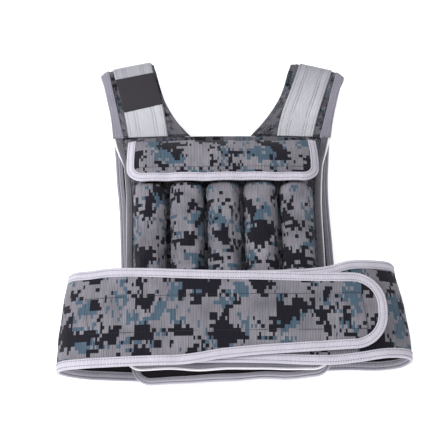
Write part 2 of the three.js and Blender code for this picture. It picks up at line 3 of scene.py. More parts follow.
import bmesh
import bpy
import numpy as np
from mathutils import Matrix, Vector


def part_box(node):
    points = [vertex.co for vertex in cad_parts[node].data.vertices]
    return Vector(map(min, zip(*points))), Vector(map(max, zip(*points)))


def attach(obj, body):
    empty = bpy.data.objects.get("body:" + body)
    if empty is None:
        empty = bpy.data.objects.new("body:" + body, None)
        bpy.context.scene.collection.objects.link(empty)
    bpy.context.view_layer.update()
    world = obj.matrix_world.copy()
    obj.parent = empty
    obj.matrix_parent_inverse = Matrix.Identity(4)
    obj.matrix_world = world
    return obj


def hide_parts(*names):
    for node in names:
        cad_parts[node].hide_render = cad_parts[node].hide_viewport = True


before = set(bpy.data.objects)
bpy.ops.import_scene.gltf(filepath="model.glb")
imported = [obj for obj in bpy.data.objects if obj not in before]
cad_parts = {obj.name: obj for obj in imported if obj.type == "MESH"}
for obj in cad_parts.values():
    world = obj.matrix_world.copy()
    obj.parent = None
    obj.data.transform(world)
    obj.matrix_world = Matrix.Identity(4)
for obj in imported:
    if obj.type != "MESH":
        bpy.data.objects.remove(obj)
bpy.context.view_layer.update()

# Lengths are in millimetres, as on a sewing pattern, until a mesh is made from them
MM = 0.001

# Sizes of the cloth, the tape and the webbing
CLEARANCE = 0.3
PANEL_THICKNESS = 6.0
BELT_THICKNESS = 4.0
FLAP_THICKNESS = 4.0
STRAP_THICKNESS = 5.0
TAPE_THICKNESS = 1.2
TAPE_WIDTH = 11.5
INNER_TAPE_WIDTH = 9.0
STRAP_TAPE_WIDTH = 11.0
WEBBING_THICKNESS = 2.4
PATCH_THICKNESS = 1.2

# The webbing's distance from the strap's tape and its width, along the strap's slanting rows,
# at the seams and at the shoulder
WEBBING_LIE = {"left": ((11.3, 59.0), (6.0, 59.0)), "right": ((13.5, 52.0), (6.0, 50.0))}

# Sizes of the weight channels
CHANNEL_COUNT = 5
CHANNEL_WIDTH = 49.5
CHANNEL_GAP = 3.0
CHANNEL_HEIGHT = 28.0
CHANNEL_TOP_MARGIN = 17.5

# Sizes of the torso
TORSO_LENGTH = 346.0
HEM_BELOW_CENTRE = 208.0
BACK_HEM_DROP = 11.0
BACK_EXTRA_WIDTH = 9.0
SEAM_MARGIN = 1.5
NECK_WIDTH = 92.0
TORSO_GAP = 21.0
FRONT_CROWN = 8.0
NECKLINE_FALL = 3.0
HEM_CORNER_RADIUS = 26.0

# Sizes of the flap over the channel tops
FLAP_DEPTH = 74.0
FLAP_OVERHANG = 7.0
FLAP_CORNER_RADIUS = 24.0
FLAP_SIDE_FALL = 0.62

# Sizes of the shoulder straps
STRAP_RISE = 126.0
STRAP_TOP_WIDTH = 81.0
STRAP_NECK_TOP = 105.0
SHOULDER_FOLD_RADIUS = 9.0
SHOULDER_SLOPE = 0.21
FOLD_STEPS = 6

# Sizes of the waist belt
BELT_WIDTH = 131.5
BELT_TOP_BELOW_CENTRE = 78.0
FRONT_BELT_RISE = 8.0
BELT_SEAM_HALF = 118.0
LEFT_LOOP_REACH = 98.0
RIGHT_LOOP_REACH = 121.0
TONGUE_REACH = 220.0
TONGUE_WIDTH = 99.0
TONGUE_ROUND = 0.46
UNDER_BELT_REACH = 62.0
UNDER_BELT_CORNER_RADIUS = 18.0

# How each layer lies askew on the floor
FRONT_LEAN, FRONT_TILT = 0.024, 0.006
BACK_LEAN, BACK_TILT = 0.057, 0.047

# Worked out from the sizes above
CHANNEL_PITCH = CHANNEL_WIDTH + CHANNEL_GAP
FIELD_HALF = (CHANNEL_COUNT * CHANNEL_PITCH - CHANNEL_GAP) / 2
FRONT_HALF = FIELD_HALF + TAPE_WIDTH + SEAM_MARGIN
HEM_Y = -HEM_BELOW_CENTRE
STRAP_SEAM_Y = HEM_Y + TORSO_LENGTH
FLAP_SEWN_Y = STRAP_SEAM_Y - TAPE_WIDTH
FLAP_FREE_Y = FLAP_SEWN_Y - FLAP_DEPTH
CHANNEL_LOW_END = HEM_Y + TAPE_WIDTH + SEAM_MARGIN
CHANNEL_LENGTH = FLAP_SEWN_Y - CHANNEL_TOP_MARGIN - CHANNEL_LOW_END
TAPE_STAND = CLEARANCE + TAPE_THICKNESS
BELT_LAYER = BELT_THICKNESS + 2 * TAPE_STAND + CLEARANCE
BACK_BELT_Z = TAPE_STAND + BELT_THICKNESS / 2
BACK_PANEL_Z = (BACK_BELT_Z + BELT_THICKNESS / 2 + TAPE_STAND + CLEARANCE
                + CHANNEL_HEIGHT + CLEARANCE + PANEL_THICKNESS / 2)
FRONT_PANEL_Z = BACK_PANEL_Z + PANEL_THICKNESS + TORSO_GAP
CREST_HEIGHT = CLEARANCE + CHANNEL_HEIGHT
FLAP_HEIGHT = CREST_HEIGHT + CLEARANCE + TAPE_STAND + FLAP_THICKNESS / 2
BELT_HEIGHT = CREST_HEIGHT + CLEARANCE + TAPE_STAND + BELT_THICKNESS / 2
SHOULDER_FRONT_Z = BACK_PANEL_Z + 2 * SHOULDER_FOLD_RADIUS

# The pattern's centre line lies where the middle of the belt's back stretch lies in the frame
back_low, back_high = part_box("belt_back")
SHIFT = np.array([
    (back_low.x + back_high.x) / 2 / MM,
    (back_low.y + back_high.y) / 2 / MM + BELT_TOP_BELOW_CENTRE + BELT_WIDTH / 2,
    0.0,
])


def mix(a, b, t):
    return a + (b - a) * t


def smooth(t):
    t = np.clip(t, 0, 1)
    return t * t * (3 - 2 * t)


def spline(places, values, at):
    """A smooth line through the rows of a table."""
    places, values = np.asarray(places, float), np.asarray(values, float)
    slopes = np.gradient(values, places, axis=0)
    at = np.clip(at, places[0], places[-1])
    i = np.clip(np.searchsorted(places, at, side="right") - 1, 0, len(places) - 2)
    span = places[i + 1] - places[i]
    t = (at - places[i]) / span
    if values.ndim > 1:
        t, span = t[..., None], span[..., None]
    return ((1 + 2 * t) * (1 - t) ** 2 * values[i] + t * (1 - t) ** 2 * span * slopes[i]
            + t * t * (3 - 2 * t) * values[i + 1] + t * t * (t - 1) * span * slopes[i + 1])


RIPPLE_WAVES = 6
RIPPLE_SPREAD = (0.7, 1.5)


def ripple(x, y, wavelength, seed):
    """A smooth uneven height of about -1 to 1 over flat cloth, the same on each run."""
    draw = np.random.RandomState(seed)
    total = np.zeros(np.broadcast(x, y).shape)
    for _ in range(RIPPLE_WAVES):
        angle, phase = draw.uniform(0, math.tau, 2)
        turns = draw.uniform(*RIPPLE_SPREAD) * math.tau / wavelength
        total += np.sin((x * math.cos(angle) + y * math.sin(angle)) * turns + phase)
    return total / (RIPPLE_WAVES / 2)


def hump(distance, width):
    """1 on a line, falling to 0 at the width from it."""
    return smooth(1 - np.abs(distance) / width)


def towards_straps(y):
    """0 up to halfway from the pattern's middle to the straps' seams, and 1 at the seams."""
    return smooth((y - STRAP_SEAM_Y / 2) / (STRAP_SEAM_Y / 2))


def lie(side, x, y):
    """Where a point of the front or back layer's pattern lies on the floor plan."""
    share = 1.0 if side == "front" else towards_straps(y)
    lean, tilt = mix(BACK_LEAN, FRONT_LEAN, share), mix(BACK_TILT, FRONT_TILT, share)
    return x - lean * y, y + tilt * x


def front_layer_z(x, y):
    crowned = FRONT_PANEL_Z - FRONT_CROWN * (x / FRONT_HALF) ** 2 - NECKLINE_FALL * towards_straps(y)
    fold_start = STRAP_RISE - SHOULDER_FOLD_RADIUS * 2
    return mix(crowned, SHOULDER_FRONT_Z, smooth((y - STRAP_SEAM_Y) / fold_start))


def stand_off(side, x, y, height):
    offset = PANEL_THICKNESS / 2 + height
    return front_layer_z(x, y) + offset if side == "front" else BACK_PANEL_Z - offset


def stack(*coordinates):
    """Points from their coordinates, each a number, an array, or a row or column of a grid."""
    return np.stack(np.broadcast_arrays(*coordinates), -1)


def run_along(line):
    """The length along a line at each of its points."""
    return np.concatenate([[0], np.cumsum(np.linalg.norm(np.diff(line, axis=0), axis=1))])


def finer(line, step=3.0):
    """A line with its points a step apart."""
    along = run_along(line)
    at = np.linspace(0, along[-1], int(along[-1] / step) + 1)
    return stack(np.interp(at, along, line[:, 0]), np.interp(at, along, line[:, 1]))


def left_of(steps):
    """Directions to the left of steps on flat cloth."""
    turned = stack(-steps[:, 1], steps[:, 0])
    return turned / np.linalg.norm(turned, axis=1, keepdims=True)


def surface(bend, x, y, height=0.0):
    """Points at a height above bent cloth, from its flat coordinates."""
    step = 0.5
    along = bend(x + step, y) - bend(x - step, y)
    across = bend(x, y + step) - bend(x, y - step)
    normal = np.cross(along, across)
    normal /= np.linalg.norm(normal, axis=-1, keepdims=True)
    return bend(x, y) + normal * np.asarray(height)[..., None]


def raised(bend, height):
    return lambda x, y: surface(bend, x, y, height)


def add_object(name, data):
    made = bpy.data.objects.new(name, data)
    bpy.context.scene.collection.objects.link(made)
    return made


# Materials


class Signal:
    """A number that a node gives. Arithmetic with it adds further nodes."""

    def __init__(self, recipe, socket):
        self.recipe = recipe
        self.socket = socket

    def __add__(self, other):
        return self.recipe.math("ADD", self, other)

    def __sub__(self, other):
        return self.recipe.math("SUBTRACT", self, other)

    def __rsub__(self, other):
        return self.recipe.math("SUBTRACT", other, self)

    def __mul__(self, other):
        return self.recipe.math("MULTIPLY", self, other)

    def __pow__(self, other):
        return self.recipe.math("POWER", self, other)

    def __gt__(self, other):
        return self.recipe.math("GREATER_THAN", self, other)

    def __abs__(self):
        return self.recipe.math("ABSOLUTE", self)


class Recipe:
    """A material's nodes, added by short calls."""

    def __init__(self, name):
        self.material = bpy.data.materials.new(name)
        self.material.use_nodes = True
        self.tree = self.material.node_tree
        self.shader = self.tree.nodes["Principled BSDF"]

    def add(self, kind, *values, **settings):
        node = self.tree.nodes.new(kind)
        for key, value in settings.items():
            setattr(node, key, value)
        sockets = [s for s in node.inputs if s.enabled]
        for socket, value in zip(sockets, values):
            self.feed(socket, value)
        return node

    def feed(self, socket, value):
        if isinstance(value, Signal):
            value = value.socket
        if isinstance(value, bpy.types.NodeSocket):
            self.tree.links.new(value, socket)
        else:
            socket.default_value = value

    def fill(self, node, values):
        for key, value in values.items():
            self.feed(node.inputs[key], value)

    def math(self, operation, *values):
        return Signal(self, self.add("ShaderNodeMath", *values, operation=operation).outputs[0])

    def vector(self, operation, *values):
        return self.add("ShaderNodeVectorMath", *values, operation=operation).outputs[0]

    def noise(self, place, scale, detail=2.0, roughness=0.5, output="Fac"):
        node = self.add("ShaderNodeTexNoise")
        self.fill(node, {"Vector": place, "Scale": scale, "Detail": detail, "Roughness": roughness})
        return Signal(self, node.outputs[output])

    def chance(self, cell, offset):
        """A random number from 0 to 1 for each cell of a grid."""
        node = self.add("ShaderNodeTexWhiteNoise", self.vector("ADD", cell, offset))
        return Signal(self, node.outputs["Value"])

    def blend(self, share, low, high):
        node = self.add("ShaderNodeMix", data_type="RGBA")
        for key, value in (("Factor", share), ("A", low), ("B", high)):
            socket = next(s for s in node.inputs if s.name == key and s.enabled)
            self.feed(socket, value)
        return next(s for s in node.outputs if s.enabled)

    def shaded(self, colour, shade):
        node = self.add("ShaderNodeVectorMath", colour, operation="SCALE")
        self.feed(node.inputs["Scale"], shade)
        return node.outputs[0]

    def cloth_place(self):
        """The flat cloth's own coordinates, in metres, whole and as its two numbers."""
        uv = self.add("ShaderNodeTexCoord").outputs["UV"]
        parts = self.add("ShaderNodeSeparateXYZ", uv).outputs
        return uv, Signal(self, parts[0]), Signal(self, parts[1])

    def wave(self, place, pitch):
        """A ribbed profile from 0 to 1 with one rib in each pitch."""
        return self.math("SINE", place * (math.tau / (pitch * MM))) * 0.5 + 0.5

    def near(self, place, line, width, reach):
        """1 beside a line on the cloth, and 0 from `reach` widths away, over the last width."""
        share = reach - abs(place - line * MM) * (1 / (width * MM))
        return self.math("MINIMUM", self.math("MAXIMUM", share, 0.0), 1.0)

    def finish(self, colour, height, depth, roughness=0.85, sheen=0.25):
        bump = self.add("ShaderNodeBump")
        self.fill(bump, {"Strength": 1.0, "Distance": depth * MM, "Height": height})
        self.fill(self.shader, {
            "Base Color": colour, "Roughness": roughness, "Sheen Weight": sheen, "Sheen Roughness": 0.5,
            "Specular IOR Level": 0.18, "Normal": bump.outputs[0],
        })
        return self.material


def rgb(red, green, blue):
    """A colour as it looks on a screen, from 0 to 255, as the linear value that a shader takes."""
    return tuple((((c / 255) + 0.055) / 1.055) ** 2.4 if c > 10 else c / 255 / 12.92
                 for c in (red, green, blue)) + (1.0,)


# The print's square cells, and the cloth's ribs, cross threads and finest grain
CAMO_CELL = 5.3
RIB_PITCH = 2.15
WEFT_PITCH = 0.9
FINE_GRAIN = 900.0


def camouflage(name, grey_low, grey_high, blue, dark, softness=0.0):
    """Ribbed padded cloth with a generic print of square cells in three colours."""
    r = Recipe(name)
    place, across, along = r.cloth_place()
    if softness:
        blur = r.vector("SUBTRACT", r.noise(place, FINE_GRAIN, output="Color"), (0.5, 0.5, 0.5))
        place = r.vector("MULTIPLY_ADD", blur, (softness * MM,) * 3, place)
    cell, half_cell = (
        r.vector("SNAP", place, (width * MM, CAMO_CELL * MM, 1.0)) for width in (CAMO_CELL, CAMO_CELL / 2)
    )
    loose = r.chance(cell, (0.0011, 0.0013, 0.5)) - 0.5
    thin = r.chance(half_cell, (0.0007, 0.0017, 3.5)) - 0.5

    def field(offset, scale):
        return r.noise(r.vector("ADD", cell, offset), scale, 2.5, 0.62)

    def patches(base, threshold, spread):
        return thin * (spread * 0.6) + (loose * spread + base) > threshold

    beside_dark = field((3.112, 7.69, 0.0), 30.0) * 0.5 + field((9.4, 2.6, 5.0), 26.0) * 0.5
    is_dark = patches(field((3.1, 7.7, 0.0), 28.0), threshold=0.535, spread=0.09)
    is_blue = patches(beside_dark, threshold=0.532, spread=0.08)
    grey = r.blend(r.noise(place, 22.0), grey_low, grey_high)
    colour = r.blend(is_dark, r.blend(is_blue, grey, blue), dark)
    rib, weft = r.wave(across, RIB_PITCH), r.wave(along, WEFT_PITCH)
    streak = r.noise(r.vector("MULTIPLY", place, (1.0, 0.07, 1.0)), 420.0, 2.0, 0.6)
    grain = r.noise(place, FINE_GRAIN, 2.0, 0.7)
    groove = (1.0 - rib) ** 3.0 * (streak * 2.4 - 0.7)
    shade = (groove * -0.95 + 1.12) * (grain * 1.1 + 0.45)
    return r.finish(r.shaded(colour, shade), weft * 0.25 + (grain * 0.3 + rib), 0.5, 0.9, 0.05)


def binding_tape(name, low, high, painted_fold_highlight=None, painted_light_middle=None, line_pitch=1.5, line_share=0.12):
    """Ribbed tape, folded lengthwise, with fine ribs across it. Where the place of the fold is given,
    it has a painted highlight along the fold, and where a place along it is given, it is paler round
    that place and darker away from it, as painted light and painted shade."""
    r = Recipe(name)
    place, along, around = r.cloth_place()
    rib, thread = r.wave(along, 1.75), r.wave(around, line_pitch)
    grain = r.noise(place, 700.0, 3.0, 0.7)
    cloudy = r.noise(place, 40.0, 3.0, 0.6)
    share = grain * 0.9 + (cloudy * 0.6 - 0.55) + rib * 0.6 + thread * line_share
    # Painted light and painted shade: paler round the given place along the tape, darker away from it.
    if painted_light_middle:
        share = r.near(along, painted_light_middle, 70, 2.7) * 0.5 + share * 0.42
    colour = r.blend(share, low, high)
    # Painted highlight: a light line along the fold.
    if painted_fold_highlight:
        colour = r.blend(r.near(around, painted_fold_highlight, 2.6, 1.6), colour, rgb(246, 243, 250))
    return r.finish(colour, thread * 0.4 + (grain * 0.6 + rib), 0.3, 0.75, 0.2)


def woven_webbing():
    """Light webbing in a flat twill, with pairs of lengthwise lines."""
    r = Recipe("light_woven_webbing")
    place, across, along = r.cloth_place()
    twill, warp = r.wave(along * 0.55 + across, 2.1), r.wave(across, 1.3)
    grain = r.noise(place, 800.0, 2.0, 0.7)
    cloudy = r.noise(r.vector("MULTIPLY", place, (4.0, 0.8, 1.0)), 40.0, 2.0, 0.6)
    # Painted shade: the webbing grows darker from 50 to 130 mm along it, and stays darkest beyond, over the
    # shoulder fold and down the back.
    shoulder_shade = r.add("ShaderNodeMapRange")
    r.fill(shoulder_shade, {"Value": along, "From Min": 0.05, "From Max": 0.13, "To Min": 0.12, "To Max": -0.3})
    shoulder_shade = Signal(r, shoulder_shade.outputs[0])
    share = warp * 0.2 + (cloudy * 0.25 + (twill * 0.3 + grain * 0.5) - 0.08) + shoulder_shade
    height = warp * 0.7 + (grain * 0.4 + twill)
    return r.finish(r.blend(share, rgb(122, 121, 131), rgb(212, 213, 220)), height, 0.25, 0.6, 0.2)


def plain_weave(name, low, high, pitch, depth, roughness=0.8):
    """A plain close weave, for the lining and the bare patch."""
    r = Recipe(name)
    place, across, along = r.cloth_place()
    weave = r.wave(across, pitch) * r.wave(along, pitch)
    grain = r.noise(place, 500.0, 3.0, 0.6)
    return r.finish(r.blend(weave * 0.5 + grain * 0.5, low, high), weave + grain, depth, roughness, 0.15)


def grained(name, low, high, scale, detail_roughness, depth, roughness, sheen):
    """A material so plain that only its shade varies."""
    r = Recipe(name)
    place = r.add("ShaderNodeTexCoord").outputs["Object"]
    grain = r.noise(place, scale, 2.0, detail_roughness)
    r.finish(r.blend(grain, low, high), grain, depth, roughness, sheen)
    return r


def sewing_thread(name, low, high):
    return grained(name, low, high, FINE_GRAIN, 0.6, 0.05, 0.6, 0.1).material


CAMO = camouflage("digital_camouflage_cloth", rgb(84, 82, 90), rgb(155, 152, 161), rgb(74, 93, 109),
                  rgb(24, 23, 33))
# A darker, blurred copy of the print: its darkness is painted shade where the panels lie between and beside
# the channels. The straps are cut from it too.
SHADED_CAMO = camouflage("camouflage_cloth_darkened_by_painted_shade", rgb(84, 82, 89), rgb(122, 119, 127), rgb(58, 76, 89),
                       rgb(22, 21, 30), 1.2)
PALE_TAPE = binding_tape("pale_binding_tape", rgb(150, 146, 160), rgb(218, 214, 226))
GREY_TAPE = binding_tape("grey_binding_tape", rgb(74, 72, 84), rgb(164, 161, 175), line_pitch=3.9,
                         line_share=0.45)
# The front panel's tape, pale round the hem: its very dark sides are painted shade, and its light fold line
# is a painted highlight.
LIT_TAPE = binding_tape("tape_with_painted_shade_and_painted_fold_highlight", rgb(16, 15, 19), rgb(172, 169, 182), 18.0, 479.0)
# The back panel's grey tape, made paler round the hem by painted light.
HEM_TAPE = binding_tape("grey_tape_with_painted_light_at_the_hem", rgb(62, 60, 71), rgb(206, 203, 216), None, 490.0,
                        line_pitch=3.6, line_share=0.6)
# A darker copy of the pale tape: painted shade on the side of the belts' tapes that faces in.
INNER_TAPE = binding_tape("shaded_side_of_tape", rgb(136, 133, 147), rgb(214, 211, 224))
WEBBING = woven_webbing()
LINING = plain_weave("black_lining", rgb(24, 21, 24), rgb(44, 39, 44), 2.4, 0.3)
PATCH = plain_weave("bare_black_patch", rgb(30, 28, 33), rgb(60, 56, 62), 1.8, 0.12, 0.55)
PALE_THREAD = sewing_thread("grey_sewing_thread", rgb(62, 60, 72), rgb(96, 93, 106))
DARK_THREAD = sewing_thread("dark_sewing_thread", rgb(26, 25, 30), rgb(52, 50, 58))


# Making meshes


def whole(faces):
    """Faces as tuples of plain whole numbers."""
    return [tuple(int(v) for v in face) for face in faces]


def make_object(name, points, faces, uv, materials, material_index=None):
    """A mesh object from points on the pattern in millimetres, placed in the frame in metres. What
    would reach below the floor lies flat on it."""
    mesh = bpy.data.meshes.new(name)
    placed = (np.asarray(points).reshape(-1, 3) + SHIFT) * MM
    placed[:, 2] = np.maximum(placed[:, 2], 0)
    mesh.from_pydata(placed.tolist(), [], whole(faces))
    corner_vertex = np.zeros(len(mesh.loops), np.int32)
    mesh.loops.foreach_get("vertex_index", corner_vertex)
    layer = mesh.uv_layers.new(name="cloth")
    layer.data.foreach_set("uv", (np.asarray(uv)[corner_vertex] * MM).astype(np.float32).ravel())
    for material in materials:
        mesh.materials.append(material)
    if material_index is not None:
        mesh.polygons.foreach_set("material_index", np.asarray(material_index, np.int32))
    mesh.polygons.foreach_set("use_smooth", np.ones(len(mesh.polygons), bool))
    mesh.update()
    return add_object(name, mesh)


def finish_piece(piece, slot, *nodes):
    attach(piece, "root")
    if nodes:
        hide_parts(*nodes)
    return piece


def grid_faces(rows, columns, flip=False, wrap=False):
    """Faces of a grid of points, row by row; a wrapped grid closes on itself across its columns."""
    i, j = np.meshgrid(np.arange(rows - 1), np.arange(columns if wrap else columns - 1), indexing="ij")
    low, high = i * columns, (i + 1) * columns
    right = (j + 1) % columns
    faces = np.stack([low + j, low + right, high + right, high + j], -1).reshape(-1, 4)
    return faces[:, ::-1] if flip else faces


def loop_of(rows, columns):
    """The edge of a grid of points, counter-clockwise from its first point."""
    return np.concatenate([
        np.arange(columns - 1),
        np.arange(rows - 1) * columns + columns - 1,
        (rows - 1) * columns + np.arange(columns - 1, 0, -1),
        np.arange(rows - 1, 0, -1) * columns,
    ])


# Cloth is pressed thin inside its tape, and swells to its full thickness behind it
RIM_SHARE = 0.36
SWELL_WIDTH = 19.0


def swell(distance):
    """0 at a taped edge, 1 where the cloth has its full thickness."""
    return smooth(np.maximum(distance, 0) / SWELL_WIDTH)


def distance_to(points, line):
    """The distance from each point to a line, worked out for some of the points at a time."""
    line = finer(line, 1.0)
    return np.concatenate([
        np.sqrt(((some[:, None] - line[None]) ** 2).sum(-1).min(1))
        for some in np.array_split(points, max(len(points) // 500, 1))
    ])


# Where each piece is cut from the printed cloth, so that no two show the same part of its print
CUT_FROM = {
    "front_panel": 40.0, "front_channels": 200.0, "back_panel": 800.0, "back_channels": 900.0,
    "front_flap": 1200.0, "back_flap": 1500.0, "strap_left": 1850.0, "strap_right": 2150.0,
    "belt_back": 2600.0, "belt_under": 3000.0, "belt_over": 3600.0,
}
RIM_ANGLES = (45, 0, -45)
RIM_RELIEF = 0.3


def sheet_piece(name, node, slot, flat, bend, thickness, out, materials, relief, taped=None):
    """Padded cloth with a rounded rim. `flat` is its grid of pattern points, `out` is 1 where its
    good side faces up and -1 where it faces down, `relief` raises its good side, and `taped` is
    the edge that its tape holds."""
    rows, columns = flat.shape[:2]
    flat = flat.reshape(-1, 2).copy()
    loop = loop_of(rows, columns)
    ring = flat[loop]
    inward = left_of(np.roll(ring, -1, 0) - np.roll(ring, 1, 0))
    full = np.ones(len(flat)) if taped is None else swell(distance_to(flat, taped))
    half = thickness / 2 * mix(RIM_SHARE, 1, full)
    radius = half[loop]
    flat[loop] += inward * radius[:, None]
    lift = relief(*flat.T) * full
    lift[loop] *= RIM_RELIEF
    up = half + (lift if out > 0 else 0)
    down = half + (lift if out < 0 else 0)
    parts = [surface(bend, *flat.T, up), surface(bend, *flat.T, -down)]
    places = [flat, flat]
    for angle in np.radians(RIM_ANGLES):
        rim = flat[loop] - inward * radius[:, None] * math.cos(angle)
        parts.append(surface(bend, *rim.T, radius * math.sin(angle)))
        places.append(rim)
    count, size = len(flat), len(loop)
    top, bottom = grid_faces(rows, columns), grid_faces(rows, columns, flip=True) + count
    lines = [2 * count + k * size + np.arange(size) for k in range(len(RIM_ANGLES))]
    lines = [loop, *lines, count + loop]
    rim_faces = [
        np.stack([high, low, np.roll(low, -1), np.roll(high, -1)], -1) for high, low in zip(lines, lines[1:])
    ]
    faces = np.concatenate([top, bottom, *rim_faces])
    index = np.zeros(len(faces), int)
    inner = slice(len(top), 2 * len(top)) if out > 0 else slice(0, len(top))
    index[inner] = 1
    uv = np.concatenate(places) + CUT_FROM.get(node, 0.0)
    piece = make_object(name, np.concatenate(parts), faces, uv, materials, index)
    finish_piece(piece, slot, node)
    corners = flat.reshape(rows, columns, 2)
    diagonal = corners[1:, 1:] - corners[:-1, :-1]
    other = corners[1:, :-1] - corners[:-1, 1:]
    area = np.abs(diagonal[..., 0] * other[..., 1] - diagonal[..., 1] * other[..., 0]).sum() / 2 * MM * MM
    size = (np.ptp(flat, axis=0) + thickness) * MM
    tuple(size)
    return piece


def inward_of(edge, start_cut=None, end_cut=None):
    """Directions into the cloth along an edge, with its ends cut along the seams they meet."""
    normals = left_of(np.diff(edge, axis=0))
    first, last = np.vstack([normals[:1], normals]), np.vstack([normals, normals[-1:]])
    inward = first + last
    inward /= np.linalg.norm(inward, axis=1, keepdims=True)
    inward /= np.maximum((inward * first).sum(1, keepdims=True), 0.6)
    for at, cut in ((0, start_cut), (-1, end_cut)):
        if cut is not None:
            inward[at] = np.array(cut) / np.dot(cut, inward[at])
    return inward


# The stitch rows of a tape, as shares of its width from the folded edge, how wide and deep the
# groove of a row is, and how far the tape bulges between two rows
STITCH_ROWS = (0.2, 0.8)
GROOVE_SHARE = 0.07
GROOVE_DEPTH = 0.45
TAPE_BULGE = 0.16

# How high a tape puckers and over what length, first finely and then widely
PUCKERS = ((0.16, 9.0), (0.2, 34.0))
FOLD_ANGLES = (0, 22, 44, 66)
FOLD_DEPTH = 1.7


def tape_bed(thickness, depth):
    """The height of a tape's inner face over the middle of the cloth."""
    return float(thickness / 2 * mix(RIM_SHARE, 1, swell(depth)) + CLEARANCE)


def tape_section(thickness, width, rows):
    """Half of a folded tape's section, from the fold to its edge: depth into the cloth, and height."""
    top = tape_bed(thickness, 0) + TAPE_THICKNESS
    angles = np.radians(FOLD_ANGLES)
    fold = [(-TAPE_STAND + (1 - math.cos(a)) * FOLD_DEPTH, top * math.sin(a)) for a in angles]
    face = [(0.9, 0), (0.92 * width, -0.02), (width - 0.3, -0.18), (width, -0.7)]
    face += [(share * width, -GROOVE_DEPTH) for share in rows]
    face += [((share + turn) * width, 0.02) for share in rows for turn in (-GROOVE_SHARE, GROOVE_SHARE)]
    face += [((a + b) / 2 * width, TAPE_BULGE) for a, b in zip(rows, rows[1:])]
    face = [(depth, tape_bed(thickness, depth) + TAPE_THICKNESS + lift) for depth, lift in sorted(face)]
    back = [(depth, tape_bed(thickness, depth)) for depth in (width, 0.5 * width, 0.6)]
    back.append((-CLEARANCE, tape_bed(thickness, 0) * 0.55))
    return fold + face, back


def tape_piece(name, edge, bend, thickness, width, material, cuts=(None, None), seed=0, rows=STITCH_ROWS,
               under_width=None, shaded=0):
    """A tape folded over the edge of bent cloth, and the lines that its stitches follow. Its upper
    face has the width given, and its lower face the width under it. Its upper face, or its lower
    one, takes a darker copy of the tape as painted shade where `shaded` is 1, or -1."""
    inward = inward_of(edge, *cuts)
    under_width = under_width or width
    face, back = tape_section(thickness, width, rows)
    under_face, under_back = tape_section(thickness, under_width, rows)
    lower = [(depth, -height) for depth, height in reversed(under_face[1:])]
    under = [(depth, -height) for depth, height in reversed(under_back)]
    section = np.array(lower + face + back + under)
    outer = len(lower) + len(face)
    around, along = run_along(section), run_along(edge)
    pucker = sum(
        high * ripple(along, along * 0, length, seed + k) for k, (high, length) in enumerate(PUCKERS)
    )
    rings = []
    for k, (depth, height) in enumerate(section):
        loose = pucker if k < outer else 0 * pucker
        flat = edge + inward * (depth + 0.12 * loose)[:, None]
        rings.append(surface(bend, *flat.T, height + np.sign(height) * loose * 0.5))
    points = np.stack(rings, 1)
    stations, size = points.shape[:2]
    faces = grid_faces(stations, size, wrap=True)
    first_cap, last_cap = (cap_faces(size, outer, at * size) for at in (0, stations - 1))
    index = np.zeros((stations - 1, size), int)
    # Painted shade: the faces of one side take the darker tape.
    if shaded:
        index[:, slice(len(lower), outer) if shaded > 0 else slice(0, len(lower))] = 1
    index = np.concatenate([index.ravel(), np.zeros(len(first_cap) + len(last_cap), int)])
    piece = make_object(name, points, [*faces, *(face[::-1] for face in first_cap), *last_cap],
                        stack(along[:, None], around).reshape(-1, 2), [material, INNER_TAPE], index)
    close_outwards(piece)
    lines = []
    for share in rows:
        for sign, span in ((1, width), (-1, under_width)):
            flat = edge + inward * (share * span)
            height = sign * (tape_bed(thickness, share * span) + TAPE_THICKNESS - 0.3)
            lines.append(surface(bend, *flat.T, height + sign * 0.5 * pucker))
    return piece, lines, (around[-1] / 2 * MM, along[-1] * MM)


def sew_tape(cloth, base, *course, ending="", slot="pale_tape", thread="pale_tape",
             stitches="stitches", **kind):
    """A tape over the edge of a cloth, and the stitches that hold it."""
    tape, lines, size = tape_piece(f"{base}_tape{ending}", *course, **kind)
    finish_piece(tape, slot, f"{base}_binding{ending}")
    stitch_piece(f"{base}_{stitches}{ending}", lines, PALE_THREAD, thread)


def cap_faces(size, outer_count, first):
    """Faces over the cut end of a folded tape, between its outer and its inner line."""
    outer = list(range(outer_count))
    inner = list(range(size - 1, outer_count - 1, -1))
    faces = []
    for k in range(outer_count - 1):
        a = round(k * (len(inner) - 1) / (outer_count - 1))
        b = round((k + 1) * (len(inner) - 1) / (outer_count - 1))
        ring = [outer[k], outer[k + 1], inner[b]] + ([inner[a]] if a != b else [])
        faces.append(tuple(first + v for v in ring))
    return faces


def close_outwards(piece):
    """Turns all the faces of a closed mesh outwards."""
    shape = bmesh.new()
    shape.from_mesh(piece.data)
    bmesh.ops.recalc_face_normals(shape, faces=shape.faces)
    shape.to_mesh(piece.data)
    shape.free()


# Stitches: a node tree sets one small rounded stitch in each pitch of a line


STITCH_INPUTS = {"Geometry": "Geometry", "Pitch": "Float", "Size": "Vector", "Thread": "Material"}
STITCH_NODES = {
    "start": "NodeGroupInput",
    "curve": "GeometryNodeMeshToCurve",
    "spaced": "GeometryNodeResampleCurve",
    "tangent": "GeometryNodeInputTangent",
    "turned": "FunctionNodeAlignEulerToVector",
    "stitch": "GeometryNodeMeshUVSphere",
    "placed": "GeometryNodeInstanceOnPoints",
    "real": "GeometryNodeRealizeInstances",
    "smoothed": "GeometryNodeSetShadeSmooth",
    "finish": "GeometryNodeSetMaterial",
    "end": "NodeGroupOutput",
}
STITCH_LINKS = [
    ("start", "Geometry", "curve", 0), ("curve", 0, "spaced", "Curve"),
    ("start", "Pitch", "spaced", "Length"), ("spaced", 0, "placed", "Points"),
    ("stitch", "Mesh", "placed", "Instance"),
    ("tangent", 0, "turned", "Vector"), ("turned", 0, "placed", "Rotation"),
    ("start", "Size", "placed", "Scale"), ("placed", 0, "real", 0), ("real", 0, "smoothed", 0),
    ("smoothed", 0, "finish", "Geometry"), ("start", "Thread", "finish", "Material"), ("finish", 0, "end", 0),
]


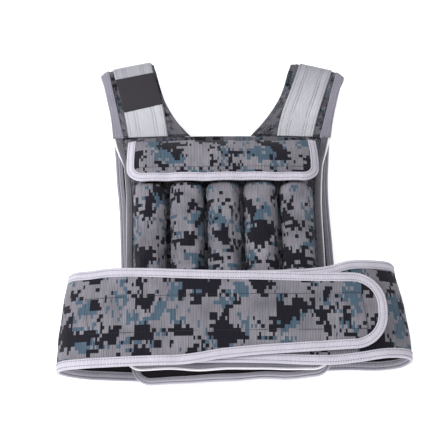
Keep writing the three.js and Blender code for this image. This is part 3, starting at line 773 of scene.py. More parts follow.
def stitch_tree():
    tree = bpy.data.node_groups.new("sewn_stitches", "GeometryNodeTree")
    for name, kind in STITCH_INPUTS.items():
        tree.interface.new_socket(name, in_out="INPUT", socket_type="NodeSocket" + kind)
    tree.interface.new_socket("Geometry", in_out="OUTPUT", socket_type="NodeSocketGeometry")
    nodes = {name: tree.nodes.new(kind) for name, kind in STITCH_NODES.items()}
    nodes["spaced"].mode = "LENGTH"
    nodes["turned"].axis = "Z"
    for key, value in (("Segments", 6), ("Rings", 4), ("Radius", 0.5)):
        nodes["stitch"].inputs[key].default_value = value
    for source, given, target, taken in STITCH_LINKS:
        tree.links.new(nodes[source].outputs[given], nodes[target].inputs[taken])
    return tree


STITCHES = stitch_tree()


def stitch_piece(name, lines, thread, slot, pitch=3.4, length=1.9, thickness=1.1):
    """Stitches along lines of points, baked to a plain mesh."""
    mesh = bpy.data.meshes.new(name)
    edges, points = [], []
    for line in lines:
        edges += [(len(points) + k, len(points) + k + 1) for k in range(len(line) - 1)]
        points += ((line + SHIFT) * MM).tolist()
    mesh.from_pydata(points, edges, [])
    rows = add_object(name + "_rows", mesh)
    modifier = rows.modifiers.new("stitches", "NODES")
    modifier.node_group = STITCHES
    values = {"Pitch": pitch * MM, "Size": (thickness * MM, thickness * MM, length * MM), "Thread": thread}
    for item in STITCHES.interface.items_tree:
        if item.in_out == "INPUT" and item.name in values:
            modifier[item.identifier] = values[item.name]
    depsgraph = bpy.context.evaluated_depsgraph_get()
    baked = bpy.data.meshes.new_from_object(rows.evaluated_get(depsgraph))
    bpy.data.objects.remove(rows)
    baked.name = name
    return finish_piece(add_object(name, baked), slot)


# Torso panels

PANEL_EDGE = [
    (0.24, 1, 0.8), (0.5, 1, 1), (0.76, 1.01, 1), (0.87, 1.045, 0.8), (0.94, 1.085, 0.4), (1, 1.125, 0),
]
BACK_HEM_TAPER = 0.4


def rounded_sides(hem, corner_half, radius, ups, halves, step):
    """Heights and half widths of a piece with two round lower corners, close together at them."""
    arc = np.radians(np.linspace(-90, 0, 13))
    corner_y = hem + radius + radius * np.sin(arc)
    corner_x = corner_half - radius + radius * np.cos(arc)
    above = np.linspace(hem + radius, ups[-1], max(int((ups[-1] - hem - radius) / step), 2) + 1)[1:]
    side_x = spline([hem + radius, *ups], [corner_half, *halves], above)
    return np.concatenate([corner_y, above]), np.concatenate([corner_x, side_x])


def spanned(y, half, step):
    """A grid of pattern points between the left and right edge, and the edge round its lower sides."""
    columns = int(2 * half.max() / step) + 1
    flat = stack(half[:, None] * np.linspace(-1, 1, columns), y[:, None])
    inner = np.linspace(-half[0], half[0], int(2 * half[0] / 3) + 1)[1:-1]
    edge = np.concatenate([stack(-half, y)[::-1], stack(inner, y[0]), stack(half, y)])
    return flat, edge


SIDES = {"front": 1, "back": -1}
PANEL_STEP = 6.0
PANEL_TAPES = {
    "front": (TAPE_WIDTH, LIT_TAPE, "pale_tape"),
    "back": (INNER_TAPE_WIDTH, HEM_TAPE, "grey_tape"),
}

# The front panel's sides curl down past the channels, in radians at its left and right edge
CURL_START = FIELD_HALF + 0.5
SIDE_CURL = (1.5, 1.0)
CURL_EASE = 45.0

# The back panel lies a little to the right, and both panels wave at the hem
BACK_DRIFT = 2.2
BACK_DRIFT_EASE = (50.0, 150.0)
HEM_WAVE = 90.0
HEM_SWAY = {"front": 0.9, "back": 1.6}
HEM_LIFT_SHARE = {"front": 1.0, "back": 0.4}
HEM_WAVE_SEED = {"front": 3, "back": 5}
HEM_WAVE_REACH, HEM_WAVE_EASE = 70.0, 60.0


def make_panel(side):
    front = side == "front"
    hem, extra = (HEM_Y, 0) if front else (HEM_Y - BACK_HEM_DROP, BACK_EXTRA_WIDTH)
    length = STRAP_SEAM_Y - CLEARANCE / 2 - hem
    corner_half = FRONT_HALF - extra * BACK_HEM_TAPER
    ups = [hem + length * up for up, wide, share in PANEL_EDGE]
    halves = [FRONT_HALF * wide + extra * share for up, wide, share in PANEL_EDGE]
    y, half = rounded_sides(hem, corner_half, HEM_CORNER_RADIUS, ups, halves, PANEL_STEP)
    flat, edge = spanned(y, half, PANEL_STEP)

    def bend(x, y):
        past = np.maximum(np.abs(x) - CURL_START, 0) if front else 0 * x
        room = np.maximum(spline(ups, halves, y) + TAPE_STAND - CURL_START, 10)
        eased = smooth((STRAP_SEAM_Y - y) / CURL_EASE) * smooth((y - hem) / CURL_EASE)
        turn = past / room * np.where(x < 0, *SIDE_CURL) * eased
        z = front_layer_z(x, y) if front else BACK_PANEL_Z
        z = z - past * turn / 2 * np.sinc(turn / math.tau) ** 2
        x = np.sign(x) * (np.abs(x) - past + past * np.sinc(turn / math.pi))
        at_x, at_y = lie(side, x, y)
        if not front:
            below_seam, above_hem = BACK_DRIFT_EASE
            at_x = at_x + BACK_DRIFT * smooth((STRAP_SEAM_Y - y) / below_seam) * smooth((y - hem) / above_hem)
        sway = HEM_SWAY[side] * ripple(x, y, HEM_WAVE, HEM_WAVE_SEED[side])
        sway = sway * smooth((hem + HEM_WAVE_REACH - y) / HEM_WAVE_EASE)
        return stack(at_x, at_y + sway, z + sway * HEM_LIFT_SHARE[side])

    def relief(x, y):
        return 0.35 * ripple(x, y, 45.0, 11)

    name = side + "_panel"
    # The panel's cloth takes the darker copy of the print, painted shade between and beside the channels.
    cloth = sheet_piece(name + "_cloth", name, "camo_cloth", flat, bend, PANEL_THICKNESS, SIDES[side],
                        [SHADED_CAMO, LINING], relief, edge)
    width, material, slot = PANEL_TAPES[side]
    sew_tape(cloth, name, finer(edge), bend, PANEL_THICKNESS, width, material, ((1, 0), (-1, 0)), 21,
             under_width=TAPE_WIDTH, slot=slot)


# Weight channels

CHANNEL_SECTIONS = [
    (0, 0.62, 0.3), (0.015, 0.84, 0.62), (0.05, 0.96, 0.9), (0.12, 1, 1), (0.34, 1, 1), (0.5, 0.99, 0.99),
    (0.7, 1, 1), (0.78, 1, 1), (0.795, 0.99, 0.975), (0.808, 0.96, 0.92), (0.82, 0.9, 0.82),
    (0.833, 0.81, 0.7), (0.85, 0.78, 0.66), (0.93, 0.78, 0.64), (0.97, 0.7, 0.5), (1, 0.55, 0.3),
]
CHANNEL_SQUARENESS = 0.8
CHANNEL_SIDE_SQUARENESS = 0.72
CHANNEL_BULGE = 1.3
CHANNEL_ARC = 26

# How the channels are filled: their first slimmer shape, the cloth's stiffness and the pressure
# inside, how many steps it swells for, and how far it may move
SLIM = np.array([0.975, 1, 0.955])
FILLING = {
    "vertex_group_mass": "sewn", "quality": 6, "mass": 0.2, "tension_stiffness": 12,
    "compression_stiffness": 12, "bending_stiffness": 0.2, "shrink_min": -0.035, "use_pressure": True,
    "uniform_pressure_force": 4.0,
}
SWELL_FRAMES = 16
SWELL_CAP = 3.2
SEAM_HEIGHT = 0.5

# The print runs over the channels as over one gathered cloth
PRINT_SPREAD = 1.7
PRINT_START = 300.0


def channel_start():
    """A channel before it is filled: sections of an arch on its flat base, in flat cloth space. It
    narrows at the flap's edge, where its weight ends."""
    places, wides, highs = np.array(CHANNEL_SECTIONS).T
    along = np.concatenate([
        [0, 0.006, 0.015, 0.03], np.linspace(0.045, 0.76, 53), np.linspace(0.77, 0.85, 17),
        np.linspace(0.865, 0.955, 8), [0.97, 0.985, 0.994, 1],
    ])[:, None]
    wide, high = spline(places, wides, along), spline(places, highs, along)
    angle = np.linspace(0, math.pi, CHANNEL_ARC + 1)
    cos, sin = np.cos(angle), np.maximum(np.sin(angle), 0)
    across = np.sign(cos) * (CHANNEL_WIDTH / 2 * np.abs(cos) ** CHANNEL_SIDE_SQUARENESS
                             + CHANNEL_BULGE * np.sqrt(sin) * np.minimum(np.abs(cos) * 3, 1))
    return stack(wide * across, CHANNEL_LENGTH * along, CHANNEL_HEIGHT * high * sin ** CHANNEL_SQUARENESS)


def tube_faces(rings, size):
    """Faces round a grid of rings, and over its two ends."""
    ends = [range(size), range((rings - 1) * size, rings * size)]
    return whole([*grid_faces(rings, size, wrap=True), *ends])


def unfilled_tube(start, number):
    """A slimmer channel, sewn down along both sides. Each has its own slack, so each puckers in
    its own way."""
    uneven = ripple(start[..., 1] + 70 * number, start[..., 0] * 0.6, 17.0, 31 + number)
    points = start * SLIM
    points[..., 2] += 0.5 * uneven * (start[..., 2] > SEAM_HEIGHT)
    mesh = bpy.data.meshes.new("filling")
    mesh.from_pydata((points.reshape(-1, 3) * MM).tolist(), [], tube_faces(*start.shape[:2]))
    tube = add_object("filling", mesh)
    close_outwards(tube)
    tube.data.update()
    seam = np.flatnonzero(start.reshape(-1, 3)[:, 2] < SEAM_HEIGHT)
    tube.vertex_groups.new(name="sewn").add([int(v) for v in seam], 1.0, "REPLACE")
    cloth = tube.modifiers.new("filling", "CLOTH").settings
    for key, value in FILLING.items():
        setattr(cloth, key, value)
    cloth.effector_weights.gravity = 0.0
    return tube


def filled_channels():
    """The channels swelled by simulated cloth on their gathered seams."""
    start = channel_start()
    tubes = [unfilled_tube(start, number) for number in range(CHANNEL_COUNT)]
    scene = bpy.context.scene
    for number in range(1, SWELL_FRAMES + 1):
        scene.frame_set(number)
    depsgraph = bpy.context.evaluated_depsgraph_get()
    shapes = []
    for tube in tubes:
        after = np.zeros(start.size)
        tube.evaluated_get(depsgraph).data.vertices.foreach_get("co", after)
        moved = after.reshape(start.shape) / MM - start
        far = np.linalg.norm(moved, axis=-1, keepdims=True)
        shapes.append(start + moved * np.minimum(1, SWELL_CAP / np.maximum(far, 1e-6)))
        bpy.data.objects.remove(tube)
    scene.frame_set(1)
    return shapes


def make_channel(side, number, shape):
    middle = (number - (CHANNEL_COUNT + 1) / 2) * CHANNEL_PITCH
    x, y = middle + shape[..., 0], CHANNEL_LOW_END + shape[..., 1]
    height = CLEARANCE + np.maximum(shape[..., 2], 0)
    rings, size = shape.shape[:2]
    around = np.linalg.norm(np.diff(channel_start(), axis=1), axis=-1)
    around = np.concatenate([np.zeros((rings, 1)), np.cumsum(around, 1)], 1)
    around = middle * PRINT_SPREAD - (around - around[:, -1:] / 2) + PRINT_START
    uv = stack(around, y + CUT_FROM[side + "_channels"]).reshape(-1, 2)
    points = stack(*lie(side, x, y), stand_off(side, x, y, height))
    piece = make_object(f"{side}_channel_cloth_{number}", points, tube_faces(rings, size), uv, [CAMO])
    close_outwards(piece)
    finer_cloth = piece.modifiers.new("finer", "SUBSURF")
    finer_cloth.levels = finer_cloth.render_levels = 1
    finish_piece(piece, "camo_cloth", f"{side}_channel_{number}")


# The flap over the channel tops

FLAP_PROFILE = [(0, 1), (0.25, 1), (0.47, 0.97), (0.65, 0.84), (0.79, 0.6), (1, 0.08)]
FLAP_LINE = 20.0
FLAP_STEP = 4.0
FLAP_VALLEY = 2.2
FLAP_DRAWN_UP = 3.6
FLAP_TAPE_WIDTH = TAPE_WIDTH - 0.8

# The flap's waves over its field, along its free edge and along its sewn one: height and length
FLAP_WAVE = (1.2, 60.0)
FLAP_LOW_WAVE = (1.1, 95.0)
FLAP_TOP_WAVE = (1.3, 48.0)

# The puckered corner: how far it is from the side and from the free edge, and how wide
PUCKER_IN, PUCKER_UP, PUCKER_WIDTH = 16.0, 18.0, 22.0


def make_flap(side):
    half_width = FIELD_HALF + FLAP_OVERHANG
    crest_half = FIELD_HALF - CHANNEL_WIDTH / 2
    low = CLEARANCE + FLAP_THICKNESS / 2 + TAPE_STAND
    stitched = FLAP_FREE_Y + FLAP_LINE
    ups, highs = np.array(FLAP_PROFILE).T

    def bend(x, y):
        """Held up by the channels, sunk in the valleys between them, and wavy along its two edges."""
        over_side = np.maximum(np.abs(x) - crest_half, 0) / (half_width - crest_half)
        round_share = np.sqrt(np.maximum(1 - FLAP_SIDE_FALL * over_side ** 2, 0.05))
        share = (y - FLAP_FREE_Y) / FLAP_DEPTH
        rise = spline(ups, highs, share)
        valley = np.cos(x / CHANNEL_PITCH * math.tau + math.pi) * 0.5 + 0.5
        valley = valley ** 2 * (np.abs(x) < FIELD_HALF - CHANNEL_WIDTH / 3)
        wave, low_wave, top_wave = (
            high * ripple(x, along, length, seed) for (high, length), along, seed in (
                (FLAP_WAVE, y, 71), (FLAP_LOW_WAVE, 0 * y, 77), (FLAP_TOP_WAVE, 0 * y, 79)))
        dip = FLAP_VALLEY * valley * smooth(1 - share) + wave * smooth(share * 1.4)
        low_wave = low_wave * smooth(1 - share * 1.5)
        top_wave = top_wave * smooth(share * 2 - 1)
        drawn_up = FLAP_DRAWN_UP * smooth(1 - share * 1.3)
        at_x, at_y = lie(side, x, y)
        z = stand_off(side, x, y, mix(low, FLAP_HEIGHT, rise * round_share) - dip * rise)
        return stack(at_x, at_y + low_wave + top_wave + drawn_up, z)

    def relief(x, y):
        """Puckered at one corner, and drawn in along a stitched line."""
        corner = np.hypot(x + half_width - PUCKER_IN, y - FLAP_FREE_Y - PUCKER_UP)
        pucker = 0.8 * ripple(x, y, 16.0, 81) * hump(corner, PUCKER_WIDTH)
        return 0.4 + 0.35 * ripple(x, y, 40.0, 83) + pucker - 0.8 * hump(y - stitched, 3.5)

    y, half = rounded_sides(FLAP_FREE_Y, half_width, FLAP_CORNER_RADIUS, [FLAP_SEWN_Y], [half_width], 3.5)
    flat, edge = spanned(y, half, FLAP_STEP)
    name = side + "_flap"
    cloth = sheet_piece(name + "_cloth", name, "camo_cloth", flat, bend, FLAP_THICKNESS, SIDES[side],
                        [CAMO, LINING],
                        relief, edge)
    sew_tape(cloth, name, finer(edge), bend, FLAP_THICKNESS, FLAP_TAPE_WIDTH, PALE_TAPE,
             ((1, 0), (-1, 0)), 41)
    x = np.arange(-half_width + 14, half_width - 14, 2.0)
    seam = surface(bend, x, np.full(len(x), stitched), SIDES[side] * (FLAP_THICKNESS / 2 - 0.1))
    stitch_piece(name + "_seam", [seam], DARK_THREAD, "camo_cloth", 3.0, 2.7, 0.8)


# Shoulder straps

STRAP_EDGES = [
    (0, 0, 0, 0), (0.17, 0.3, 0.12, 0.08), (0.467, 0.66, 0.37, 0.28),
    (0.69, 0.82, 0.64, 0.57), (0.92, 0.95, 0.91, 0.89), (1, 1, 1, 1),
]
PATCH_FIRST_ROW, PATCH_LAST_ROW = 2, 4
PATCH_STITCH_INSET = 2.2
CREST_CORNER = 11.0
STRAP_DRIFT = 3.6
CREST_REACH = 45.0
CORNER_REACH = 24.0
STRAP_ROWS, STRAP_COLUMNS = 130, 25
WEBBING_COLUMNS = 57
WEBBING_PRESSED = 0.7
PATCH_GRID = 40

# By side, -1 for the left strap and 1 for the right one: how far its neck edge bows in, and how
# far its crest is raised at its neck edge and less at its arm edge
NECK_BOW = {-1: 0.0, 1: 4.2}
NECK_BOW_FROM_SEAM, NECK_BOW_REACH = 14.0, 66.0
CREST_RISE = {-1: (2.0, 0.0), 1: (1.2, 3.6)}
STRAP_STITCH_ROWS = (0.16, 0.5, 0.84)
WEBBING_LINES = (0.07, 0.24, 0.31, 0.69, 0.76, 0.93)


def strap_rows(sign):
    """Rows across a strap, from the front seam over the shoulder to the back seam."""
    crest_out = SHOULDER_FOLD_RADIUS + STRAP_THICKNESS / 2
    fold_up = np.array([SHOULDER_SLOPE, 1]) / math.hypot(SHOULDER_SLOPE, 1)
    neck_top = np.array([STRAP_NECK_TOP, STRAP_SEAM_Y + STRAP_RISE]) - fold_up * crest_out
    arm_top = neck_top + np.array([fold_up[1], -fold_up[0]]) * STRAP_TOP_WIDTH
    seam_half = FRONT_HALF * PANEL_EDGE[-1][1]

    def layer(flat, z):
        x, y = lie("front", sign * flat[0], flat[1])
        return [x, y, z]

    plan = []
    for neck_up, neck_out, arm_up, arm_out in STRAP_EDGES:
        plan.append((
            np.array([mix(NECK_WIDTH / 2, neck_top[0], neck_out), mix(STRAP_SEAM_Y, neck_top[1], neck_up)]),
            np.array([mix(seam_half, arm_top[0], arm_out), mix(STRAP_SEAM_Y, arm_top[1], arm_up)]),
        ))
    rows = [[layer(flat, front_layer_z(*flat)) for flat in row] for row in plan]
    rows[-1] = [layer(flat, SHOULDER_FRONT_Z) for flat in plan[-1]]
    for i in range(1, FOLD_STEPS):
        angle = math.pi * i / FOLD_STEPS
        out = SHOULDER_FOLD_RADIUS * math.sin(angle)
        z = BACK_PANEL_Z + SHOULDER_FOLD_RADIUS * (1 + math.cos(angle))
        rows.append([layer(flat + fold_up * out, z) for flat in plan[-1]])
    rows += [[layer(flat, BACK_PANEL_Z) for flat in row] for row in reversed(plan)]
    return np.array(rows)


def make_strap(side, sign):
    rows = strap_rows(sign)
    at_row = run_along(rows.mean(1))
    length = at_row[-1]
    crest = at_row[len(STRAP_EDGES) - 1 + FOLD_STEPS // 2]

    def edges_at(s):
        edges = spline(at_row, rows.reshape(-1, 6), s)
        neck, arm = edges[..., :3], edges[..., 3:]
        return neck, arm, np.linalg.norm(arm - neck, axis=-1)

    def bend(x, s):
        """Run straight on past the seams, rounded at the shoulder's corners, and leaning as a whole."""
        neck, arm, width = edges_at(s + 0 * x)
        past = np.where(s < 0, s, np.where(s > length, s - length, 0))
        point = neck + (arm - neck) * (sign * x / width)[..., None]
        point[..., 1] += past * np.where(s < length / 2, 1, -1)
        inside = np.minimum(np.abs(x), width - np.abs(x))
        corner = np.maximum(CREST_CORNER - inside, 0) ** 2 / (2 * CREST_CORNER)
        from_seam = np.minimum(s, length - s)
        point[..., 0] += STRAP_DRIFT * np.clip(from_seam / crest, 0, 1)
        share = np.abs(x) / width
        point[..., 0] -= NECK_BOW[sign] * (1 - share) * hump(from_seam - NECK_BOW_FROM_SEAM, NECK_BOW_REACH)
        rise, less = CREST_RISE[sign]
        point[..., 1] += (rise - less * share) * hump(s - crest, CREST_REACH)
        point[..., 1] -= corner * hump(s - crest, CORNER_REACH)
        return point

    s = np.linspace(0.2, length - 0.2, STRAP_ROWS)
    width = edges_at(s)[2]
    rising = np.clip(1 - np.abs(s - crest) / (length / 2), 0, 1)
    beside, wide = (mix(seam, top, rising) for seam, top in zip(*WEBBING_LIE[side]))
    arm_side = width - STRAP_TAPE_WIDTH - beside

    def webbing_at(y):
        """The place of the webbing's arm side from the neck edge, and its width."""
        return np.interp(y, s, arm_side), np.interp(y, s, wide)

    def relief(x, y):
        """Turned in at its neck edge, and pressed down under the webbing."""
        arm, across = webbing_at(y)
        from_middle = np.abs(arm - across / 2 - np.abs(x))
        pressed = smooth((across / 2 + 2 - from_middle) / 5)
        return 0.35 * ripple(x, y, 28.0, 91) - 0.9 * hump(np.abs(x) - 6, 3) - 1.5 * pressed

    def webbing_relief(x, y):
        arm, across = webbing_at(y)
        share = 1 - (arm - np.abs(x)) / across
        grooves = sum(hump(share - at, 0.022) for at in WEBBING_LINES)
        return 0.25 + 0.2 * ripple(x, y, 25.0, 95) - 0.5 * grooves

    edge = stack(sign * width, s)[::sign]
    flat = stack(width[:, None] * np.linspace(0, 1, STRAP_COLUMNS) * sign, s[:, None])[:, ::sign]
    cloth = sheet_piece(f"strap_cloth_{side}", f"strap_{side}", "camo_cloth", flat, bend, STRAP_THICKNESS, 1,
                        [SHADED_CAMO, LINING], relief, edge)
    sew_tape(cloth, "strap", finer(edge, 2.5), bend, STRAP_THICKNESS, STRAP_TAPE_WIDTH, GREY_TAPE,
             ending=f"_{side}", slot="grey_tape", thread="grey_tape", stitches="tape_stitches", seed=51,
             rows=STRAP_STITCH_ROWS)

    webbing_base = STRAP_THICKNESS / 2 - WEBBING_PRESSED + WEBBING_THICKNESS / 2
    webbing_bend = raised(bend, webbing_base)
    span = np.linspace(0, 1, WEBBING_COLUMNS)
    flat = stack((arm_side[:, None] - wide[:, None] * (1 - span)) * sign, s[:, None])[:, ::sign]
    sheet_piece(f"webbing_strip_{side}", f"webbing_{side}", "webbing", flat, webbing_bend,
                WEBBING_THICKNESS, 1, [WEBBING, WEBBING], webbing_relief)
    lines = [
        surface(webbing_bend, sign * (arm_side - wide * (1 - share)), s, WEBBING_THICKNESS / 2 - 0.05)
        for share in WEBBING_LINES
    ]
    stitch_piece(f"webbing_stitches_{side}", lines, PALE_THREAD, "webbing", 3.6, 2.9, 0.6)
    if side == "left":
        make_patch(bend, webbing_base + WEBBING_THICKNESS / 2, at_row, webbing_at)


def make_patch(bend, base, at_row, webbing_at):
    """A bare patch sewn over the webbing of the left strap."""
    patch_bend = raised(bend, base + CLEARANCE + PATCH_THICKNESS / 2)
    s = np.linspace(at_row[PATCH_FIRST_ROW], at_row[PATCH_LAST_ROW], PATCH_GRID)
    arm, wide = webbing_at(s[:, None])
    flat = stack(-(arm - wide * (1 - np.linspace(0, 1, PATCH_GRID))), s[:, None])[:, ::-1]

    def relief(x, y):
        """Slightly crowned, with its two ends turned under."""
        turned = 0.4 * (y < s[0] + 4) + 0.4 * (y > s[-1] - 4)
        return 0.4 * hump(y - s.mean(), np.ptp(s) / 2) + 0.12 * ripple(x, y, 20.0, 97) + turned

    sheet_piece("bare_patch", "label_patch", "patch", flat, patch_bend, PATCH_THICKNESS, 1, [PATCH, PATCH],
                relief)
    up = np.linspace(s[0] + PATCH_STITCH_INSET, s[-1] - PATCH_STITCH_INSET, 30)
    arm, wide = webbing_at(up)
    outer, inner = stack(-arm + PATCH_STITCH_INSET, up), stack(-arm + wide - PATCH_STITCH_INSET, up)
    ring = np.concatenate([outer, inner[::-1], outer[:1]])
    line = surface(patch_bend, *ring.T, PATCH_THICKNESS / 2 + 0.05)
    stitch_piece("patch_stitches", [line], DARK_THREAD, "patch", 2.6, 2.0, 0.6)


# The waist belt

LEFT_LOOP = [
    (0.22, 0.008, 0, 0), (0.48, 0.03, 0, 0), (0.72, 0.12, 0.01, -0.01), (0.92, 0.3, 0.01, -0.015),
    (1, 0.52, 0, -0.02), (0.9, 0.73, 0, -0.02), (0.66, 0.86, -0.01, -0.02), (0.36, 0.94, 0, -0.018),
]
RIGHT_LOOP = [
    (0.2, 0.008, 0, 0.024), (0.45, 0.025, 0, 0.028), (0.7, 0.1, 0, 0.004), (0.92, 0.28, 0.01, 0),
    (1, 0.52, 0.018, 0.02), (0.93, 0.76, 0.034, 0.024), (0.72, 0.92, 0.022, 0.006),
    (0.45, 0.98, 0.004, -0.045), (0.2, 0.995, -0.06, -0.075),
]
OVER_STRETCH = [
    (-0.8, -0.015, -0.01), (-0.4, -0.035, 0), (0, -0.045, 0.06), (0.4, -0.05, 0.1), (0.8, -0.055, 0.13),
]
UNDER_STRETCH = [(0.85, -0.09, -0.075), (0.5, -0.11, -0.065), (0.1, -0.12, -0.06)]
UNDER_END = (-0.13, -0.06)
OVER_END_TOP = -0.06
LOOP_FLARE = {-1: 0.1, 1: 0.155}
LOOP_LEAN = {-1: 0.028, 1: 0.012}
LOOP_BULGE = 0.14
BELT_STEP = 4.5
BELT_ROWS = 31
BACK_BELT_ROWS, BACK_BELT_COLUMNS = 27, 50


def over_channels_z(x, layer):
    return stand_off("front", min(abs(x), FIELD_HALF), 0, BELT_HEIGHT + layer * BELT_LAYER)


def back_belt_top(x):
    return -BELT_TOP_BELOW_CENTRE + BACK_TILT * x


def centripetal(points, samples):
    """A centripetal Catmull-Rom line through points, with its parameter at each sample."""
    points = np.asarray(points, float)
    ends = np.vstack([2 * points[0] - points[1], points, 2 * points[-1] - points[-2]])
    t = np.linspace(0, len(points) - 1, samples)
    i = np.minimum(t.astype(int), len(points) - 2)
    w = (t - i)[:, None]
    p0, p1, p2, p3 = (ends[i + k] for k in range(4))
    gaps = [((b - a) ** 2).sum(1, keepdims=True) ** 0.25 for a, b in ((p0, p1), (p1, p2), (p2, p3))]
    g0, g1, g2 = gaps
    t1 = ((p1 - p0) / g0 - (p2 - p0) / (g0 + g1) + (p2 - p1) / g1) * g1
    t2 = ((p2 - p1) / g1 - (p3 - p1) / (g1 + g2) + (p3 - p2) / g2) * g1
    return p1 + t1 * w + (3 * (p2 - p1) - 2 * t1 - t2) * w ** 2 + (2 * (p1 - p2) + t1 + t2) * w ** 3, t


class BeltCourse:
    """The way of one belt from its back seam round to the front, in plan and height."""

    def __init__(self, sign, loop, reach, layer, stretch, end):
        self.sign = sign
        self.seam_top = back_belt_top(sign * BELT_SEAM_HALF)
        front_z = over_channels_z(BELT_SEAM_HALF, layer)
        full = FRONT_BELT_RISE / BELT_WIDTH
        rows = [(sign * (BELT_SEAM_HALF + CLEARANCE / 2), BACK_BELT_Z, 0, 0)]
        for out, up, top, bottom in loop:
            rise = full * math.sqrt(up)
            x, z = sign * (BELT_SEAM_HALF + reach * out), mix(BACK_BELT_Z, front_z, up)
            rows.append((x, z, top + rise, bottom + rise))
        for across, top, bottom in stretch:
            x = across * FIELD_HALF
            rows.append((x, over_channels_z(x, layer), top + full, bottom + full))
        rows.append((end[0], over_channels_z(end[0], layer), end[1] + full, end[2] + full))
        rows = np.array(rows, float)
        self.line, t = centripetal(rows[:, :2], 4000)
        self.along = run_along(self.line)
        self.length = self.along[-1]
        steps = np.arange(len(rows))
        self.tops = self.seam_top + BELT_WIDTH * spline(steps, rows[:, 2], t)
        self.bottoms = self.seam_top - BELT_WIDTH * (1 - spline(steps, rows[:, 3], t))

    def edges(self, a):
        return np.interp(a, self.along, self.bottoms), np.interp(a, self.along, self.tops)

    def bend(self, a, y):
        """The loop leans and flares outwards below its top edge, and bulges in the middle."""
        x = np.interp(a, self.along, self.line[:, 0])
        x = x + self.sign * (np.minimum(a, 0) - np.maximum(a - self.length, 0))
        past = np.maximum(self.sign * x - BELT_SEAM_HALF, 0)
        down = np.clip((self.seam_top - y) / BELT_WIDTH, 0, 1)
        flare = LOOP_LEAN[self.sign] + LOOP_FLARE[self.sign] * down + LOOP_BULGE * down * (1 - down)
        return stack(x + self.sign * past * flare, y, np.interp(a, self.along, self.line[:, 1]))

    def place(self, x, y):
        """A place of the floor plan on the belt's front stretch, on its flat cloth."""
        front = np.arange(len(self.line)) > np.argmax(self.sign * self.line[:, 0])
        return float(np.interp(x, self.line[front, 0], self.along[front])), y


def belt_outline(course, radius):
    """Stations along a belt with its bottom and top edge there, close together at its rounded end."""
    start = course.length - radius
    low, high = (float(v) for v in course.edges(start))
    straight = np.linspace(0, start, int(start / BELT_STEP) + 1)
    bottom, top = course.edges(straight)
    arc = np.radians(np.linspace(0, 90, 15))[1:-1]
    bow = radius * (1 - np.cos(arc))
    a = np.concatenate([straight, start + radius * np.sin(arc), [course.length]])
    return (a, np.concatenate([bottom, low + bow, [low + radius]]),
            np.concatenate([top, high - bow, [high - radius]]))


def make_wing(name, course, radius, out, relief, seed):
    a, bottom, top = belt_outline(course, radius)
    flat = stack(a, mix(bottom, top, np.linspace(0, 1, BELT_ROWS)[:, None]))
    end_line = stack(a[-1], np.linspace(bottom[-1], top[-1], 14)[1:-1])
    edge = np.concatenate([stack(a, bottom), end_line, stack(a, top)[::-1]])
    cloth = sheet_piece(name + "_cloth", name, "camo_cloth", flat, course.bend, BELT_THICKNESS, out,
                        [CAMO, LINING], relief, edge)
    sew_tape(cloth, name, finer(edge), course.bend, BELT_THICKNESS, TAPE_WIDTH, PALE_TAPE,
             ((0, 1), (0, -1)), seed, shaded=-out)


def make_back_belt():
    seam = BELT_SEAM_HALF - CLEARANCE / 2
    x = np.linspace(-seam, seam, BACK_BELT_COLUMNS)
    top = back_belt_top(x)
    flat = stack(x, top - BELT_WIDTH * (1 - np.linspace(0, 1, BACK_BELT_ROWS)[:, None]))

    def bend(x, y):
        return stack(x, y, BACK_BELT_Z)

    def relief(x, y):
        return 0.2 * ripple(x, y, 50.0, 61)

    cloth = sheet_piece("belt_back_cloth", "belt_back", "camo_cloth", flat, bend, BELT_THICKNESS, -1,
                        [CAMO, LINING], relief)
    for ending, edge, cut in (
        ("_low", stack(x, top - BELT_WIDTH), (0, 1)),
        ("_top", stack(x, top)[::-1], (0, -1)),
    ):
        sew_tape(cloth, "belt_back", finer(edge), bend, BELT_THICKNESS, TAPE_WIDTH, PALE_TAPE, (cut, cut), 65,
                 ending=ending, shaded=1)

# The long stitched box on the over-belt, as x and y on the floor plan, from its upper left corner
STITCHED_BOX = [(-184, -117), (187, -110.5), (194, -160), (-176, -166)]


def stitched_box(course):
    """The box's line on the flat cloth, and stitches along it."""
    corners = [course.place(x, y) for x, y in STITCHED_BOX]
    line = finer(np.array(corners + corners[:1]), 2.0)
    seam = surface(course.bend, *line.T, BELT_THICKNESS / 2 - 0.2)
    stitch_piece("belt_over_box_stitches", [seam], DARK_THREAD, "camo_cloth", 3.2, 3.0, 0.9)
    return line


def crease(course, a, y, ends, width):
    """A soft valley between two places of the floor plan on a belt's front stretch."""
    line = np.array([course.place(*end) for end in ends])
    return hump(distance_to(stack(a, y), line), width)


def soft_belt(a, y, seed):
    return 0.45 * ripple(a, y, 55.0, seed) + 0.2


def over_relief(a, y):
    """Soft cloth, drawn in along the stitched box, with a crease near its left loop."""
    groove = hump(distance_to(stack(a, y), box_line), 5.0)
    left = crease(over, a, y, [(-141, -122), (-130, -172)], 9.0)
    beside = crease(over, a, y, [(-128, -122), (-119, -168)], 8.0)
    return soft_belt(a, y, 64) - 0.5 * groove - 1.3 * left + 0.7 * beside


def under_relief(a, y):
    """Soft cloth, with a crease at the bend of its right loop."""
    return soft_belt(a, y, 63) + 1.5 * crease(under, a, y, [(222, -150), (243, -128)], 10.0)


channels = filled_channels()
for side in SIDES:
    make_panel(side)
    for number in range(1, CHANNEL_COUNT + 1):
        pick = number - 1 if side == "front" else CHANNEL_COUNT - number
        make_channel(side, number, channels[pick])
    make_flap(side)
make_strap("left", -1)
make_strap("right", 1)
make_back_belt()

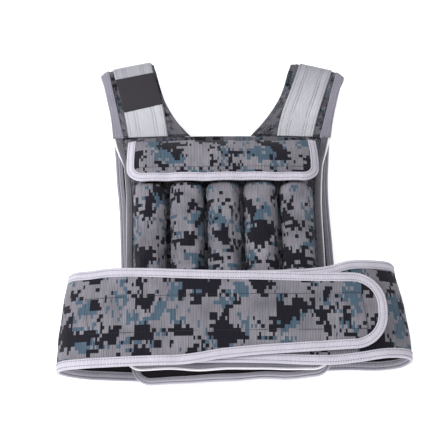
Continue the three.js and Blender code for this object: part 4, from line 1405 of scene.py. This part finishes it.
under = BeltCourse(1, RIGHT_LOOP, RIGHT_LOOP_REACH, 0, UNDER_STRETCH, (-UNDER_BELT_REACH, *UNDER_END))
over_end = (TONGUE_REACH, OVER_END_TOP, 1 + OVER_END_TOP - TONGUE_WIDTH / BELT_WIDTH)
over = BeltCourse(-1, LEFT_LOOP, LEFT_LOOP_REACH, 1, OVER_STRETCH, over_end)
box_line = stitched_box(over)
make_wing("belt_under", under, UNDER_BELT_CORNER_RADIUS, -1, under_relief, 67)
make_wing("belt_over", over, TONGUE_WIDTH * TONGUE_ROUND, 1, over_relief, 69)

# Floor, light and camera

FLOOR_SIZE = 6.0


def make_floor():
    r = grained("pale_floor", rgb(240, 240, 241), rgb(248, 248, 248), 6.0, 0.5, 0.01, 0.9, 0.0)
    r.fill(r.shader, {"Emission Color": (1.0, 1.0, 1.0, 1.0), "Emission Strength": 0.5})
    mesh = bpy.data.meshes.new("floor")
    h = FLOOR_SIZE / 2
    mesh.from_pydata([(-h, -h, 0), (h, -h, 0), (h, h, 0), (-h, h, 0)], [], [(0, 1, 2, 3)])
    mesh.materials.append(r.material)
    add_object("floor", mesh)


def area_light(name, place, size, power, target=(0, 0, 0.05)):
    data = bpy.data.lights.new(name, "AREA")
    data.size = size
    data.energy = power
    lamp = add_object(name, data)
    lamp.location = place
    lamp.rotation_euler = (Vector(target) - Vector(place)).to_track_quat("-Z", "Y").to_euler()


def make_light():
    world = bpy.data.worlds.new("soft_studio")
    world.use_nodes = True
    world.node_tree.nodes["Background"].inputs["Color"].default_value = (1, 1, 1, 1)
    world.node_tree.nodes["Background"].inputs["Strength"].default_value = 0.5
    bpy.context.scene.world = world
    area_light("key_from_the_left", (-1.35, 0.3, 1.4), 0.9, 28.5)
    area_light("fill_from_above", (0.2, 0.3, 2.2), 1.2, 11)
    area_light("fill_from_the_front", (0.1, -1.7, 0.5), 1.2, 17)


CAMERA_ELEVATION = 72.0
CAMERA_DISTANCE = 1350.0
CAMERA_TARGET = np.array([0.0, 0.0, 70.0])
MM_PER_PIXEL = 1.43
IMAGE_PIXELS = 446
IMAGE_CENTRE = 224.0
SENSOR = 36.0


def make_camera():
    data = bpy.data.cameras.new("camera")
    focal_pixels = CAMERA_DISTANCE / MM_PER_PIXEL
    data.sensor_width = SENSOR
    data.lens = focal_pixels / IMAGE_PIXELS * SENSOR
    data.shift_x = (IMAGE_PIXELS / 2 - IMAGE_CENTRE) / IMAGE_PIXELS
    camera = add_object("camera", data)
    tilt = math.radians(CAMERA_ELEVATION)
    back = np.array([0.0, -math.cos(tilt), math.sin(tilt)])
    camera.location = (CAMERA_TARGET + SHIFT + back * CAMERA_DISTANCE) * MM
    camera.rotation_euler = (math.radians(90 - CAMERA_ELEVATION), 0, 0)
    bpy.context.scene.camera = camera


make_floor()
make_light()
make_camera()
bpy.context.scene.view_settings.view_transform = "Standard"
